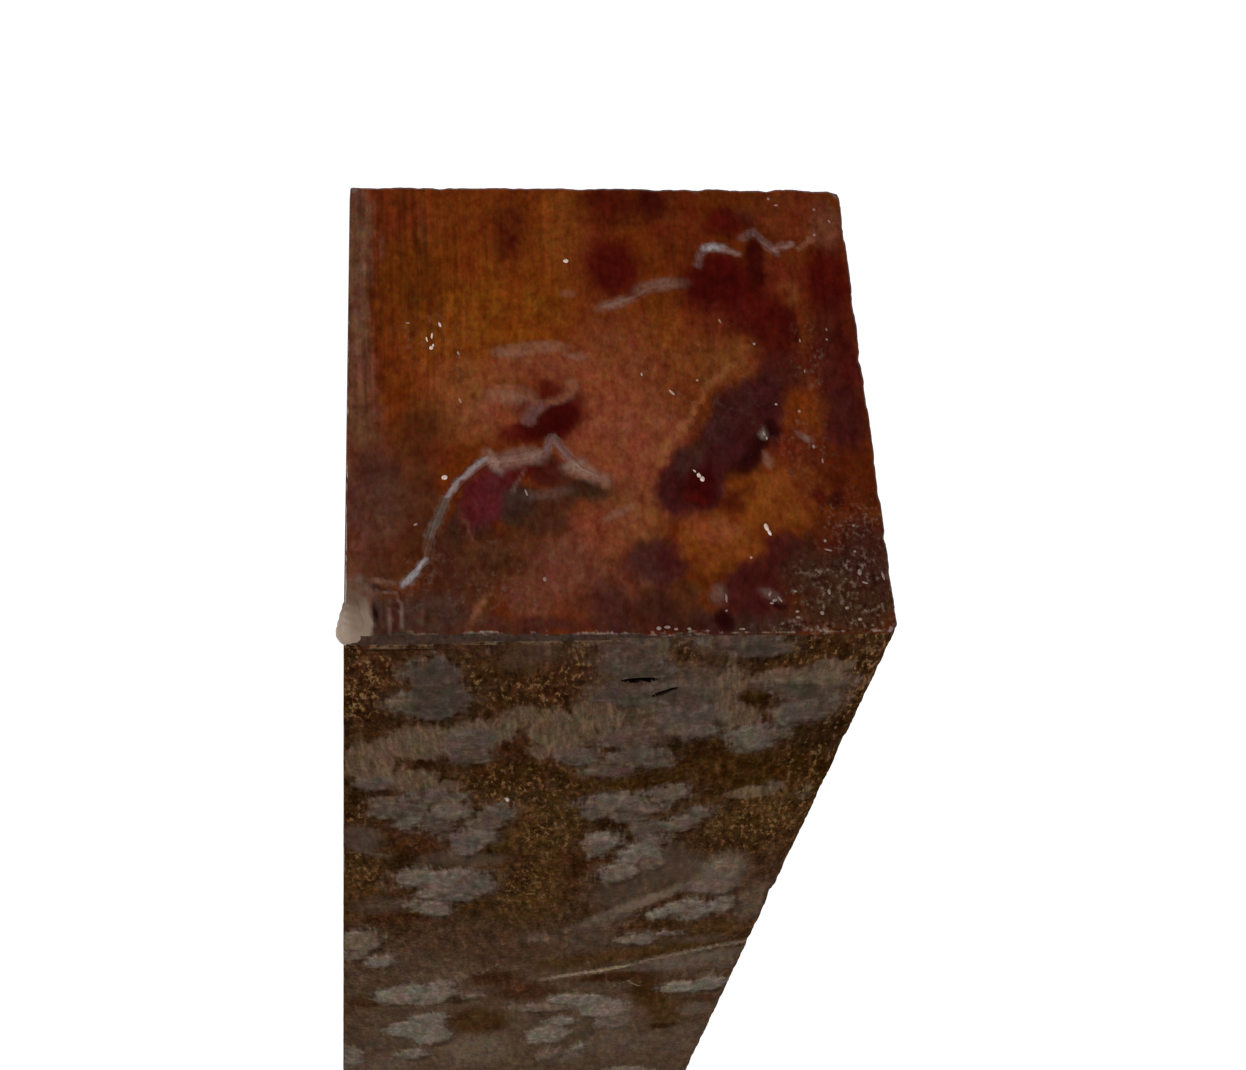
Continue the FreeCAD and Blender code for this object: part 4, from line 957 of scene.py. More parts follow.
@dataclass(frozen=True)
class WaxedSawnBurl:
    """Figured burl, bandsawn and brushed with clear wax, which has dried to a dull film.

    The figure is in the wood: grey-brown eyes with soft lobed edges lie in a dark brown
    ground of short fibres, whose golden ends carry painted glints, and bands of pale hairs
    run between the eyes. The eyes have painted light on their upper margins, painted shade
    in the creases between lobes and a painted shadow below them. A grain is a noise's name,
    the width of its blobs in millimetres and its finer layers. A span is where a mask starts
    and ends.
    """

    name: str = "waxed_sawn_burl"
    sway: float = 0.9
    sway_width: float = 5.0
    sway_layers: float = 2.0
    hair_lean: float = 0.12
    leaning: Grains = (
        ("hair", (0.42, 0.42, 3.4), 2.0),
        ("streak", (0.8, 0.8, 2.8), 2.0),
        ("tip", (0.42, 0.42, 1.2), 4.0),
    )
    swaying: Grains = (("fleck", (0.5, 0.5, 0.7), 3.0), ("mottle", (1.1, 1.1, 1.4), 4.0))
    still: Grains = (("swell", (2.8, 2.8, 4.0), 2.0),)
    tint_layers: float = 3.0
    tints: Tints = (
        ((0.5, 0.5, 0.9), ((0.91, 0.93, 0.91), (1.09, 1.07, 1.09))),
        ((1.9, 1.9, 2.6), ((0.88, 0.92, 0.86), (1.12, 1.08, 1.14))),
    )
    fibrous: Swings = (
        ("fleck", 0.48, 1.5),
        ("streak", 0.56, 1.38),
        ("swell", 0.66, 1.3),
        ("hair", 0.72, 1.26),
    )
    hazy: Swings = (("fleck", 0.88, 1.12), ("streak", 0.75, 1.25), ("swell", 0.85, 1.15))
    cluster: Span = (0.36, 0.52)
    # Golden fibre ends, partly their own gold and partly painted glints
    catch: Span = (0.54, 0.64)
    gold_glint_tone: str = "#82603c"
    pit: Span = (0.45, 0.33)
    pit_tone: str = "#160903"
    dense: Span = (0.75, 1.0)
    # Chunks where the gold is dense, painted as glints
    chunk: Span = (0.52, 0.66)
    glint_tone: str = "#80603f"
    glinting: Swings = (("streak", 0.5, 1.3), ("mottle", 0.6, 1.3))
    haze_patches: Span = (0.85, 1.2)
    haze_swings: Swings = (("fleck", 0.8, 1.2), ("streak", 0.75, 1.25))
    hair_ragged: float = 1.8
    hair_cover: Span = (1.0, 1.75)
    hair_swings: Swings = (("hair", 0.6, 1.4), ("fleck", 0.8, 1.2))
    hair_tint: tuple[Triple, Triple] = ((1.06, 0.95, 1.04), (0.97, 1.03, 0.86))
    hair_gap: float = 0.018
    gap_tone: str = "#1f1209"
    eye_lobes: tuple[tuple[str, float], ...] = (("mottle", 2.1), ("swell", 1.8))
    eye_strand: float = 0.55
    eye_fade: float = 3.0
    eye_edge: Span = (-0.95, 0.75)
    # Shares of tone for the painted light on an eye's upper margin, and further down for the painted shadow
    # on the wood below it
    eye_light: Span = (1.03, 1.26)
    eye_tint: tuple[Triple, Triple] = ((1.1, 0.93, 0.97), (0.92, 1.06, 1.0))
    eye_swings: Swings = (("mottle", 0.7, 1.28), ("streak", 0.68, 1.32), ("fleck", 0.92, 1.08))
    eye_shadow: Span = (1.0, 0.62)
    vein: float = 0.022
    # Painted shade in the creases where lobes meet; the veins take the same tone
    crease_tone: str = "#2b1c12"
    relief: float = 0.6
    relief_depth: float = 0.07

    def build(self) -> bpy.types.Material:
        """Builds the material."""
        material, tree = empty_material(self.name)
        place = millimetres(tree)
        drift = {"Vector": place, "Scale": 1 / self.sway_width, "Detail": self.sway_layers}
        drifted = add_node(tree, "TexNoise", drift).outputs["Color"]
        centred = add_node(tree, "VectorMath", {0: drifted, 1: (NOISE_MIDDLE,) * 3}, LESS)
        swayed = add_node(tree, "VectorMath", {0: centred, 1: (self.sway,) * 3, 2: place}, TIMES_PLUS)
        leant = add_node(tree, "Mapping", {"Vector": swayed, "Rotation": (0, self.hair_lean, 0)})
        noises = {
            name: drawn_noise(tree, where, size, layers)
            for where, grains in ((leant, self.leaning), (swayed, self.swaying), (place, self.still))
            for name, size, layers in grains
        }
        haired = self._hairs(tree, self._ground(tree, noises), noises)
        figure = marked(tree, self._eyes(tree, haired, noises), noises, "fleck")
        for size, ends in self.tints:
            wander = drawn_noise(tree, swayed, size, self.tint_layers, "Color")
            figure = tinted(tree, figure, wander, ends)
        height = add_node(tree, "Math", {0: noises["hair"], 1: noises["fleck"]}, PLUS)
        looks = {
            "Base Color": figure,
            "Roughness": 0.55,
            "IOR": 1.45,
            "Specular IOR Level": 0.0,
            "Normal": bumped(tree, height, self.relief, self.relief_depth),
        }
        return surfaced(material, looks)

    def _ground(self, tree: Tree, noises: Noises) -> Feed:
        """The dark wood between the eyes, with its fibres, its golden ends and its hazes; the golden ends and
        the chunks where the gold is dense carry painted glints.
        """
        ground = attribute(tree, "ground", "Color")
        fibrous = varied(tree, ground, self.fibrous, noises)
        hazy = varied(tree, ground, self.hazy, noises)
        clusters = masked(tree, noises["mottle"], self.cluster)
        gold = add_node(tree, "Math", {0: attribute(tree, "gold"), 1: clusters}, TIMES)
        pit = masked(tree, noises["tip"], self.pit)
        catch = masked(tree, noises["tip"], self.catch)
        pitted = mixed(tree, (gold, pit), fibrous, linear(self.pit_tone))
        gilded = mixed(tree, (gold, catch), pitted, linear(self.gold_glint_tone))
        dense = masked(tree, attribute(tree, "gold"), self.dense)
        chunk = masked(tree, noises["fleck"], self.chunk)
        glints = varied(tree, linear(self.glint_tone)[:3], self.glinting, noises)
        gilded = mixed(tree, (dense, chunk), gilded, glints)
        clouded = mixed(tree, (attribute(tree, "calm"),), gilded, hazy)
        cloudy = add_node(tree, "Math", {0: noises["mottle"], 1: noises["swell"]}, PLUS)
        patchy = masked(tree, cloudy, self.haze_patches)
        tone = varied(tree, linear(Stain.HAZE_BROWN.value)[:3], self.haze_swings, noises)
        return mixed(tree, (patchy, attribute(tree, "haze")), clouded, tone)

    def _hairs(self, tree: Tree, ground: Feed, noises: Noises) -> Feed:
        """Lays the bands of pale hairs over the ground."""
        yellow = tinted(tree, linear(Stain.TAN.value)[:3], noises["swell"], self.hair_tint)
        tan = varied(tree, yellow, self.hair_swings, noises)
        between = wandering_lines(tree, noises["hair"], self.hair_gap)
        lined = mixed(tree, (between, noises["streak"]), tan, linear(self.gap_tone))
        band = {0: noises["streak"], 1: self.hair_ragged, 2: attribute(tree, "hair")}
        ragged = add_node(tree, "Math", band, TIMES_PLUS)
        return mixed(tree, (masked(tree, ragged, self.hair_cover),), ground, lined)

    def _eyes(self, tree: Tree, wood: Feed, noises: Noises) -> Feed:
        """Lays the eyes over the wood, with painted light on their upper margins, painted shade in the
        creases between lobes and a painted shadow on the wood below them.
        """
        lit = attribute(tree, "lit")
        edge = attribute(tree, "eye")
        for name, reach in self.eye_lobes:
            off = add_node(tree, "Math", {0: noises[name], 1: NOISE_MIDDLE}, LESS)
            edge = add_node(tree, "Math", {0: off, 1: reach, 2: edge}, TIMES_PLUS)
        strands = add_node(tree, "Math", {0: noises["hair"], 1: self.eye_strand}, LESS)
        reach = add_node(tree, "Math", {0: lit, 1: self.eye_fade}, TIMES)
        faded = add_node(tree, "Math", {0: strands, 1: reach, 2: edge}, TIMES_PLUS)
        mask = masked(tree, faded, self.eye_edge)
        shade, light = (
            add_node(tree, "MapRange", {"Value": value, "To Min": ends[0], "To Max": ends[1]})
            for value, ends in ((attribute(tree, "under"), self.eye_shadow), (lit, self.eye_light))
        )
        dimmed = add_node(tree, "VectorMath", {0: wood, "Scale": shade}, SCALED)
        pale = {0: attribute(tree, "eye_tone", "Color"), "Scale": light}
        green = tinted(tree, add_node(tree, "VectorMath", pale, SCALED), noises["swell"], self.eye_tint)
        tone = varied(tree, green, self.eye_swings, noises)
        crease = linear(self.crease_tone)
        creased = mixed(tree, (attribute(tree, "crease"), noises["streak"]), tone, crease)
        veins = wandering_lines(tree, noises["mottle"], self.vein)
        veined = mixed(tree, (veins, noises["streak"]), creased, crease)
        return mixed(tree, (mask,), dimmed, veined)


@dataclass(frozen=True)
class WaxedHeadEnd:
    """The same burl across the grain, under thick clear wax with a wet gloss.

    The wax deepens the wood to amber and burgundy. Fine bandsaw marks run from front to
    back, and the wax is milky where it has lifted.
    """

    name: str = "waxed_head_end"
    grains: Grains = (
        ("saw", (0.6, 14.0, 4.0), 3.0),
        ("figure", (1.1, 1.7, 2.0), 5.0),
        ("grain", (0.4, 0.75, 0.4), 2.0),
        ("fibre", (0.45, 0.8, 1.0), 3.0),
        ("crumb", (0.46, 0.6, 0.4), 3.0),
        ("cloud", (1.7, 1.5, 2.0), 4.0),
    )
    tint_layers: float = 3.0
    tints: Tints = (
        ((0.5, 0.6, 0.5), ((0.88, 0.84, 0.82), (1.12, 1.16, 1.18))),
        ((2.2, 3.2, 3.0), ((0.9, 0.88, 0.85), (1.1, 1.12, 1.15))),
    )
    figure_tint: tuple[Triple, Triple] = ((0.72, 0.55, 0.48), (1.3, 1.45, 1.55))
    grain_tint: tuple[Triple, Triple] = ((0.84, 0.78, 0.74), (1.15, 1.2, 1.24))
    saw_swings: Swings = (("saw", 0.64, 1.36),)
    milk_swing: Span = (0.3, 1.1)
    bright: Span = (0.42, 0.6)
    least_bright: float = 0.12
    # Pale specks, partly wax crumbs and partly painted glints
    dot: Span = (0.47, 0.72)
    speck_and_glint_tone: str = "#857163"
    hollow: Span = (0.46, 0.3)
    hollow_tone: str = "#1c0d08"
    relief: float = 0.5
    relief_depth: float = 0.06

    def build(self) -> bpy.types.Material:
        """Builds the material."""
        material, tree = empty_material(self.name)
        place = millimetres(tree)
        noises = {name: drawn_noise(tree, place, size, layers) for name, size, layers in self.grains}
        wood = marked(tree, self._wood(tree, noises), noises, "grain")
        for size, ends in self.tints:
            wander = drawn_noise(tree, place, size, self.tint_layers, "Color")
            wood = tinted(tree, wood, wander, ends)
        dotted = self._specks(tree, self._milk(tree, wood, noises), noises)
        height = add_node(tree, "Math", {0: noises["saw"], 1: noises["figure"]}, PLUS)
        relief = bumped(tree, height, self.relief, self.relief_depth)
        looks = {
            "Base Color": dotted,
            "Roughness": 0.45,
            "IOR": 1.45,
            "Specular IOR Level": 0.0,
            "Coat Weight": 0.7,
            "Coat Roughness": 0.1,
            "Coat IOR": 1.43,
            "Normal": relief,
            "Coat Normal": relief,
        }
        return surfaced(material, looks)

    def _wood(self, tree: Tree, noises: Noises) -> Feed:
        """The stained wood with its figure, its grain and its saw marks."""
        figured = tinted(tree, attribute(tree, "stain", "Color"), noises["figure"], self.figure_tint)
        grained = tinted(tree, figured, noises["grain"], self.grain_tint)
        lined = varied(tree, grained, self.saw_swings, noises)
        return mixed(tree, (attribute(tree, "sawn"),), grained, lined)

    def _milk(self, tree: Tree, wood: Feed, noises: Noises) -> Feed:
        """Lays the milky wax over the wood, thicker and thinner along its fibres."""
        ends = dict(zip(("From Min", "From Max", "To Min", "To Max"), NOISE_SPAN + self.milk_swing))
        uneven = add_node(tree, "MapRange", {"Value": noises["fibre"], **ends})
        return mixed(tree, (attribute(tree, "milk"), uneven), wood, attribute(tree, "wax_tone", "Color"))

    def _specks(self, tree: Tree, wood: Feed, noises: Noises) -> Feed:
        """Lays the small pale specks in the wax, partly wax crumbs and partly painted glints, and the hollows
        between them.
        """
        speckle = attribute(tree, "speckle")
        hollows = masked(tree, noises["crumb"], self.hollow)
        dots = masked(tree, noises["crumb"], self.dot)
        bright = masked(tree, noises["cloud"], self.bright, self.least_bright)
        hollowed = mixed(tree, (speckle, hollows), wood, linear(self.hollow_tone))
        return mixed(tree, (speckle, dots, bright), hollowed, linear(self.speck_and_glint_tone))


@dataclass(frozen=True)
class SealingWax:
    """Clear paraffin sealing wax, poured and set, milky grey where it stands thick.

    It is modelled opaque: where the wax is clear it takes the colour of the wood below.
    """

    name: str = "sealing_wax"
    streak: Triple = (0.35, 0.6, 0.5)
    layers: float = 3.0
    milk_swing: Span = (0.45, 1.1)
    relief: float = 0.3
    relief_depth: float = 0.03

    def build(self) -> bpy.types.Material:
        """Builds the material."""
        material, tree = empty_material(self.name)
        streak = drawn_noise(tree, millimetres(tree), self.streak, self.layers)
        ends = dict(zip(("From Min", "From Max", "To Min", "To Max"), NOISE_SPAN + self.milk_swing))
        uneven = add_node(tree, "MapRange", {"Value": streak, **ends})
        milk = {0: attribute(tree, "milk"), 1: uneven}
        cloudy = add_node(tree, "Math", milk, {**TIMES, "use_clamp": True})
        stain, wax = (attribute(tree, name, "Color") for name in ("stain", "wax_tone"))
        looks = {
            "Base Color": mixed(tree, (cloudy,), stain, wax),
            "Roughness": 0.5,
            "IOR": 1.43,
            "Specular IOR Level": 0.1,
            "Coat Weight": 0.15,
            "Coat Roughness": 0.25,
            "Normal": bumped(tree, streak, self.relief, self.relief_depth),
        }
        return surfaced(material, looks)


@dataclass(frozen=True)
class PaleStage:
    """Matt white paper, lit white for the camera and in reflections, with its shadow kept."""

    name: str = "white_paper"
    paper: str = "#f4f4f4"
    lift: float = 0.7
    glow: float = 1.28

    def build(self) -> bpy.types.Material:
        """Builds the material."""
        material, tree = empty_material(self.name)
        rays = add_node(tree, "LightPath")
        shown = rays.outputs["Is Camera Ray"]
        for kind in ("Is Glossy Ray", "Is Transmission Ray"):
            shown = add_node(tree, "Math", {0: shown, 1: rays.outputs[kind]}, {"operation": "MAXIMUM"})
        share = add_node(tree, "Math", {0: shown, 1: self.lift}, TIMES)
        matt = add_node(tree, "BsdfDiffuse", {"Color": linear(self.paper)})
        white = add_node(tree, "Emission", {"Color": WHITE, "Strength": self.glow})
        blend = add_node(tree, "MixShader", {0: share, 1: matt, 2: white})
        add_node(tree, "OutputMaterial", {"Surface": blend})
        return material


@dataclass
class Split:
    """A drying split that opens on the front face, as its solid has it."""

    across: float
    below: float
    length: float
    gape: float
    tilt: float
    depth: float = 2.2

    def inside(self, across: Array, below: Array) -> Array:
        """How far points of the front face lie inside the split's lips, in millimetres."""
        turn = math.radians(self.tilt)
        over = across - self.across
        down = below - self.below
        along = over * math.cos(turn) - down * math.sin(turn)
        aside = over * math.sin(turn) + down * math.cos(turn)
        lip = self.gape / 2 * (1 - (2 * along / self.length) ** 4)
        return lip - np.abs(aside)


@dataclass(frozen=True)
class BrokenArris:
    """The front arris of the head, which has broken away from the left corner to nothing."""

    leg: float = 0.7
    run: float = 37.0
    # Ripple that frays the edges of the marks: height, width and seed
    fray: tuple[float, float, int] = (0.25, 0.9, 12)
    open_legs: Span = (0.02, 0.12)
    facet_edge: float = 0.3
    facet_tone: str = "#3a2b23"
    facet_weight: float = 0.95
    # The pale lip below the facet, a painted highlight where the facet's lower edge catches the light: how
    # far below, its edges, and the legs that have one
    lip_highlight_below: float = 0.45
    lip_highlight_edge: Span = (0.1, 0.4)
    lip_highlight_legs: Span = (0.1, 0.3)
    lip_highlight_gaps: tuple[float, int, float] = (2.2, 13, -0.15)
    lip_highlight_tone: str = "#67543f"
    lip_highlight_weight: float = 0.5
    # The dark crack below the lip: how far below, its edge, its middle and its ends
    crack_below: float = 1.0
    crack_edge: float = 0.4
    crack_middle: float = 5.5
    crack_ends: Span = (-4.5, -3.0)
    crack_tone: str = "#1f0d06"
    crack_weight: float = 0.8
    # The pale rim of wax behind the facet, partly a painted highlight along that edge, broken up by two
    # ripples
    rim_behind: float = 0.35
    rim_edge: Span = (0.05, 0.28)
    rim_ripples: tuple[tuple[float, int], ...] = ((0.8, 14), (3.0, 17))
    rim_gaps: Span = (-0.25, 0.3)
    rim_tone: str = "#806c60"
    rim_weight: float = 0.55

    def broken(self, points: Array) -> Array:
        """Points with the arris broken: what stands proud of the facet is laid on it."""
        corner = np.array([-WIDTH / 2, -DEPTH / 2, LENGTH - HEAD_RISE])
        slope = np.array([WIDTH, 0, HEAD_RISE]) / math.hypot(WIDTH, HEAD_RISE)
        on_arris = self.run * slope
        on_head = np.array([0, self.leg, 0])
        on_front = np.array([0, 0, -self.leg])
        outwards = np.cross(on_head - on_arris, on_front - on_arris)
        outwards /= np.linalg.norm(outwards)
        proud = np.maximum((points - corner - on_arris) @ outwards, 0)
        return points - proud[:, None] * outwards

    def marks(
        self, points: Array, across: Array, below: Array, sides: Array
    ) -> list[tuple[str, Array]]:
        """The colours that the break leaves, with a painted highlight on the lip below the facet and, in
        part, on the rim of wax behind it.

        Args:
            points: The points, in millimetres.
            across: Their distance from the left.
            below: Their distance below the head.
            sides: The face that each lies on.

        Returns:
            Each mark's tone, and its share at every point.
        """
        front, head = sides == Side.FRONT, sides == Side.HEAD
        behind = points[:, 1] + DEPTH / 2
        leg = self.leg * np.clip(1 - across / self.run, 0, 1)
        height, width, seed = self.fray
        fray = height * ripple(points, width, seed)
        down, back = (1 - smooth(gap - leg - fray, 0.0, self.facet_edge) for gap in (below, behind))
        facet = down * back * smooth(leg, *self.open_legs)
        # Painted highlight along the lower edge of the facet
        lip = (1 - smooth(np.abs(below - leg - self.lip_highlight_below), *self.lip_highlight_edge)) * smooth(leg, *self.lip_highlight_legs)
        width, seed, least = self.lip_highlight_gaps
        broken_lip_highlight = lip * front * (ripple(points, width, seed) > least)
        crack = 1 - smooth(np.abs(below - leg - self.crack_below - fray), 0.0, self.crack_edge)
        short_crack = crack * front * smooth(-np.abs(across - self.crack_middle), *self.crack_ends)
        rim = (1 - smooth(np.abs(behind - leg - self.rim_behind - fray), *self.rim_edge)) * head
        broken_rim = rim * smooth(sum(ripple(points, *kind) for kind in self.rim_ripples), *self.rim_gaps)
        return [
            (self.facet_tone, self.facet_weight * facet),
            (self.lip_highlight_tone, self.lip_highlight_weight * broken_lip_highlight),
            (self.crack_tone, self.crack_weight * short_crack),
            (self.rim_tone, self.rim_weight * broken_rim),
        ]


@dataclass
class BurlBlock:
    """The sawn block, as a fine mesh that carries its figure in attributes."""

    cell: float = 1.1
    eases: tuple[float, float, float, float] = (0.3, 0.9, 1.0, 0.3)
    arris: BrokenArris = BrokenArris()
    chips: tuple[tuple[float, float, float], ...] = ((0.35, 3.6, 26.0), (0.55, 6.0, 71.5))
    splits: tuple[Split, ...] = (Split(27.9, 9.2, 3.6, 0.9, 3.0), Split(30.6, 12.0, 3.1, 0.6, 42.0))
    slack: float = 0.001
    near: float = 0.1
    # Where the cells are halved: below the head end, behind the front and about a split
    fine_below_head: float = 2.6
    finer_below_head: float = 2.0
    fine_behind_front: float = 0.6
    finest_behind_front: float = 0.2
    finest_about_split: float = 0.6
    facing_up: float = 0.85
    # Ripples that push the patches about: height, width and the seeds of both ways
    sways: tuple[tuple[float, float, Span], ...] = ((0.4, 3.6, (1, 3)), (0.25, 1.4, (2, 4)))
    # The painted shadow below and right of each eye, and the painted light on its upper margin: how far the
    # eye is shifted to find them, then where each fades in
    shadow_side: float = 0.48
    shadow_drop: float = 1.2
    shadow_depths: Span = (-0.3, 0.5)
    shadow_gaps: Span = (-0.4, 0.3)
    lit_gaps: Span = (-0.6, 0.3)
    margin: float = 2.2
    margin_haze: float = 0.75
    least_haze: float = 0.08
    least_gold: float = 0.12
    # Ripples that bend the seams, then the least cover that counts as a mark
    seam_sways: tuple[tuple[float, float, int], ...] = ((0.4, 4.5, 9), (0.3, 3.0, 10))
    seam_core: float = 0.2
    least_mark: float = 0.02
    split_edge: float = 0.12
    split_wall: float = 0.35
    wear: float = 0.15
    wear_reach: Span = (0.2, 1.3)
    # Bites of the wear, the wide ones first: height, width, seed and how far they are lifted
    bites: tuple[tuple[float, float, int, float], ...] = (
        (1, 3.5, 23, 0.1),
        (1, 1.2, 21, 0),
        (0.4, 0.5, 22, 0),
    )

    def build(self) -> bpy.types.Object:
        """Models the block, paints its figure and gives it its finishes.

        Returns:
            The finished piece, which stands for the block's solid.
        """
        mesh = self._rough_block()
        points = np.empty(len(mesh.vertices) * 3, np.float32)
        mesh.vertices.foreach_get("co", points)
        points = points.reshape(-1, 3).astype(float)
        sides = self._sides_of(points)
        self._paint(mesh, points, sides)
        shaped = self._weather(points, sides)
        mesh.vertices.foreach_set("co", (shaped * MM).astype(np.float32).ravel())
        mesh.update()
        mesh.materials.append(WaxedSawnBurl().build())
        mesh.materials.append(WaxedHeadEnd().build())
        for face in mesh.polygons:
            on_head = face.normal.z > self.facing_up and face.center.z > (LENGTH - self.finer_below_head) * MM
            face.material_index = 1 if on_head else 0
            face.use_smooth = True
        piece = bpy.data.objects.new("burl_block", mesh)
        bpy.context.scene.collection.objects.link(piece)
        return piece

    def _rough_block(self) -> bpy.types.Mesh:
        """The sawn block with eased arrises, cut into a fine grid, in millimetres."""
        bm = bmesh.new()
        bmesh.ops.create_cube(bm, size=1.0)
        bmesh.ops.scale(bm, vec=(WIDTH, DEPTH, LENGTH), verts=bm.verts)
        bmesh.ops.translate(bm, vec=(0, 0, LENGTH / 2), verts=bm.verts)
        for vert in bm.verts:
            if vert.co.z > 0:
                vert.co.z = head_height(vert.co.x + WIDTH / 2)
            if vert.co.x < 0 < vert.co.y:
                vert.co.x += SIDE_LEAN
        corners = ((-1, -1), (1, -1), (1, 1), (-1, 1))
        for (over, back), ease in zip(corners, self.eases):
            upright = [
                edge
                for edge in bm.edges
                if all(vert.co.x * over > WIDTH / 2 - SIDE_LEAN - self.near for vert in edge.verts)
                and all(vert.co.y * back > DEPTH / 2 - self.near for vert in edge.verts)
                and abs(edge.verts[0].co.z - edge.verts[1].co.z) > LENGTH / 2
            ]
            bmesh.ops.bevel(
                bm, geom=upright, offset=ease, segments=3, profile=0.5, affect="EDGES", material=-1
            )
        self._cut_grid(bm, 0, WIDTH, -WIDTH / 2)
        self._cut_grid(bm, 1, DEPTH, -DEPTH / 2)
        self._cut_grid(bm, 2, LENGTH - HEAD_RISE, 0.0)
        self._refine(bm, lambda c: self._finely_cut(c.y, c.z))
        self._refine(bm, lambda c: c.z > LENGTH - self.finer_below_head)
        skin = -DEPTH / 2 + self.finest_behind_front
        level = LENGTH - HEAD_RISE / 2
        rounds = [
            (split.across - WIDTH / 2, level - split.below, split.length / 2 + self.finest_about_split)
            for split in self.splits
        ]
        for _ in range(2):
            self._refine(
                bm, lambda c: c.y < skin and any(math.hypot(c.x - x, c.z - z) < r for x, z, r in rounds)
            )
        mesh = bpy.data.meshes.new("burl_block")
        bm.to_mesh(mesh)
        bm.free()
        return mesh

    def _cut_grid(self, bm: bmesh.types.BMesh, axis: int, size: float, start: float) -> None:
        """Cuts the mesh by planes across one axis, one cell apart.

        Args:
            bm: The mesh.
            axis: 0, 1 or 2 for X, Y or Z.
            size: The block's size on that axis.
            start: Where the block starts on it.
        """
        count = round(size / self.cell)
        normal = Vector((0, 0, 0))
        normal[axis] = 1
        for step in range(1, count):
            bmesh.ops.bisect_plane(
                bm,
                geom=bm.verts[:] + bm.edges[:] + bm.faces[:],
                plane_co=normal * (start + size * step / count),
                plane_no=normal,
            )

    def _finely_cut(self, back: float | Array, up: float | Array) -> bool | Array:
        """Whether places lie close to the front face or to the head end, where the cells are small."""
        return (back < -DEPTH / 2 + self.fine_behind_front) | (up > LENGTH - self.fine_below_head)

    def _refine(self, bm: bmesh.types.BMesh, chosen: Callable[[Vector], bool]) -> None:
        """Halves the cells whose middle is chosen."""
        edges = {edge for face in bm.faces if chosen(face.calc_center_median()) for edge in face.edges}
        bmesh.ops.subdivide_edges(bm, edges=list(edges), cuts=1, use_grid_fill=True)

    def _sides_of(self, points: Array) -> Array:
        """The face that each point lies on, as a Side per point: on an arris of an end, the side's."""
        lean = SIDE_LEAN * (points[:, 1] + DEPTH / 2) / DEPTH
        inset = {
            Side.FRONT: points[:, 1] + DEPTH / 2,
            Side.RIGHT: WIDTH / 2 - points[:, 0],
            Side.BACK: DEPTH / 2 - points[:, 1],
            Side.LEFT: points[:, 0] + WIDTH / 2 - lean,
            Side.HEAD: head_height(points[:, 0] + WIDTH / 2) - points[:, 2] + self.slack,
            Side.FOOT: points[:, 2] + self.slack,
        }
        names = np.array(list(inset), dtype=object)
        return names[np.argmin(np.stack(list(inset.values())), axis=0)]

    def _face_place(self, side: Side, points: Array) -> tuple[Array, Array]:
        """Points as across and along on a face, as its patches give them."""
        over, back = points[:, 0] + WIDTH / 2, points[:, 1] + DEPTH / 2
        across = {Side.FRONT: over, Side.RIGHT: back, Side.BACK: WIDTH - over, Side.LEFT: DEPTH - back}
        if side in across:
            return across[side], head_height(over) - points[:, 2]
        return over, back

    def _paint(self, mesh: bpy.types.Mesh, points: Array, sides: Array) -> None:
        """Lays the figure on the mesh as attributes that the finishes read.

        Args:
            mesh: The block's mesh.
            points: Its vertices, in millimetres.
            sides: The face that each lies on.
        """
        count = len(points)
        colours = {name: np.zeros((count, 4)) for name in ("ground", "eye_tone", "mark")}
        kinds = ("eye", "haze", "under", "lit", "crease", "hair", "gold", "calm")
        values = {name: np.zeros(count) for name in kinds}
        warp_across, warp_along = (
            sum(height * ripple(points, width, seeds[way]) for height, width, seeds in self.sways)
            for way in range(2)
        )
        for number, side in enumerate(Side):
            here = sides == side
            across, along = self._face_place(side, points[here])
            across = across + warp_across[here]
            along = along + warp_along[here]
            if side is Side.FRONT:
                eyes, ground, hair, gold = FRONT_EYES, FRONT_GROUND, FRONT_HAIR, FRONT_GOLD
                notches = FRONT_NOTCHES
            else:
                length = DEPTH if side in (Side.HEAD, Side.FOOT) else LENGTH
                eyes, ground, hair, gold = (kind.patches(number, length) for kind in OTHER_SIDES)
                notches = []
            colours["ground"][here] = painted(Stain.GROUND, ground, across, along)
            colours["eye_tone"][here] = painted(Stain.GREY_3, eyes, across, along)
            field = eye_field(eyes, notches, across, along)
            # Painted shadow below and right of each eye, and painted light on its upper margin
            above = eye_field(eyes, notches, across - self.shadow_side, along - self.shadow_drop)
            values["eye"][here] = field
            values["under"][here] = smooth(above, *self.shadow_depths) * smooth(-field, *self.shadow_gaps)
            values["lit"][here] = smooth(-above, *self.lit_gaps)
            values["crease"][here] = creases_between(eyes, across, along)
            margin = smooth(field, -self.margin, 0.0)
            values["haze"][here] = np.maximum(self.margin_haze * margin, self.least_haze)
            hazes = [patch for patch in ground if patch.tone in HAZES]
            values["calm"][here] = most_cover(hazes, across, along)
            values["hair"][here] = most_cover(hair, across, along)
            values["gold"][here] = np.maximum(most_cover(gold, across, along), self.least_gold)
        self._paint_marks(colours["mark"], points, sides)
        for name, rows in colours.items():
            lay_colour(mesh, name, rows)
        for name, column in values.items():
            lay_value(mesh, name, column)
        paint_head(mesh, points)

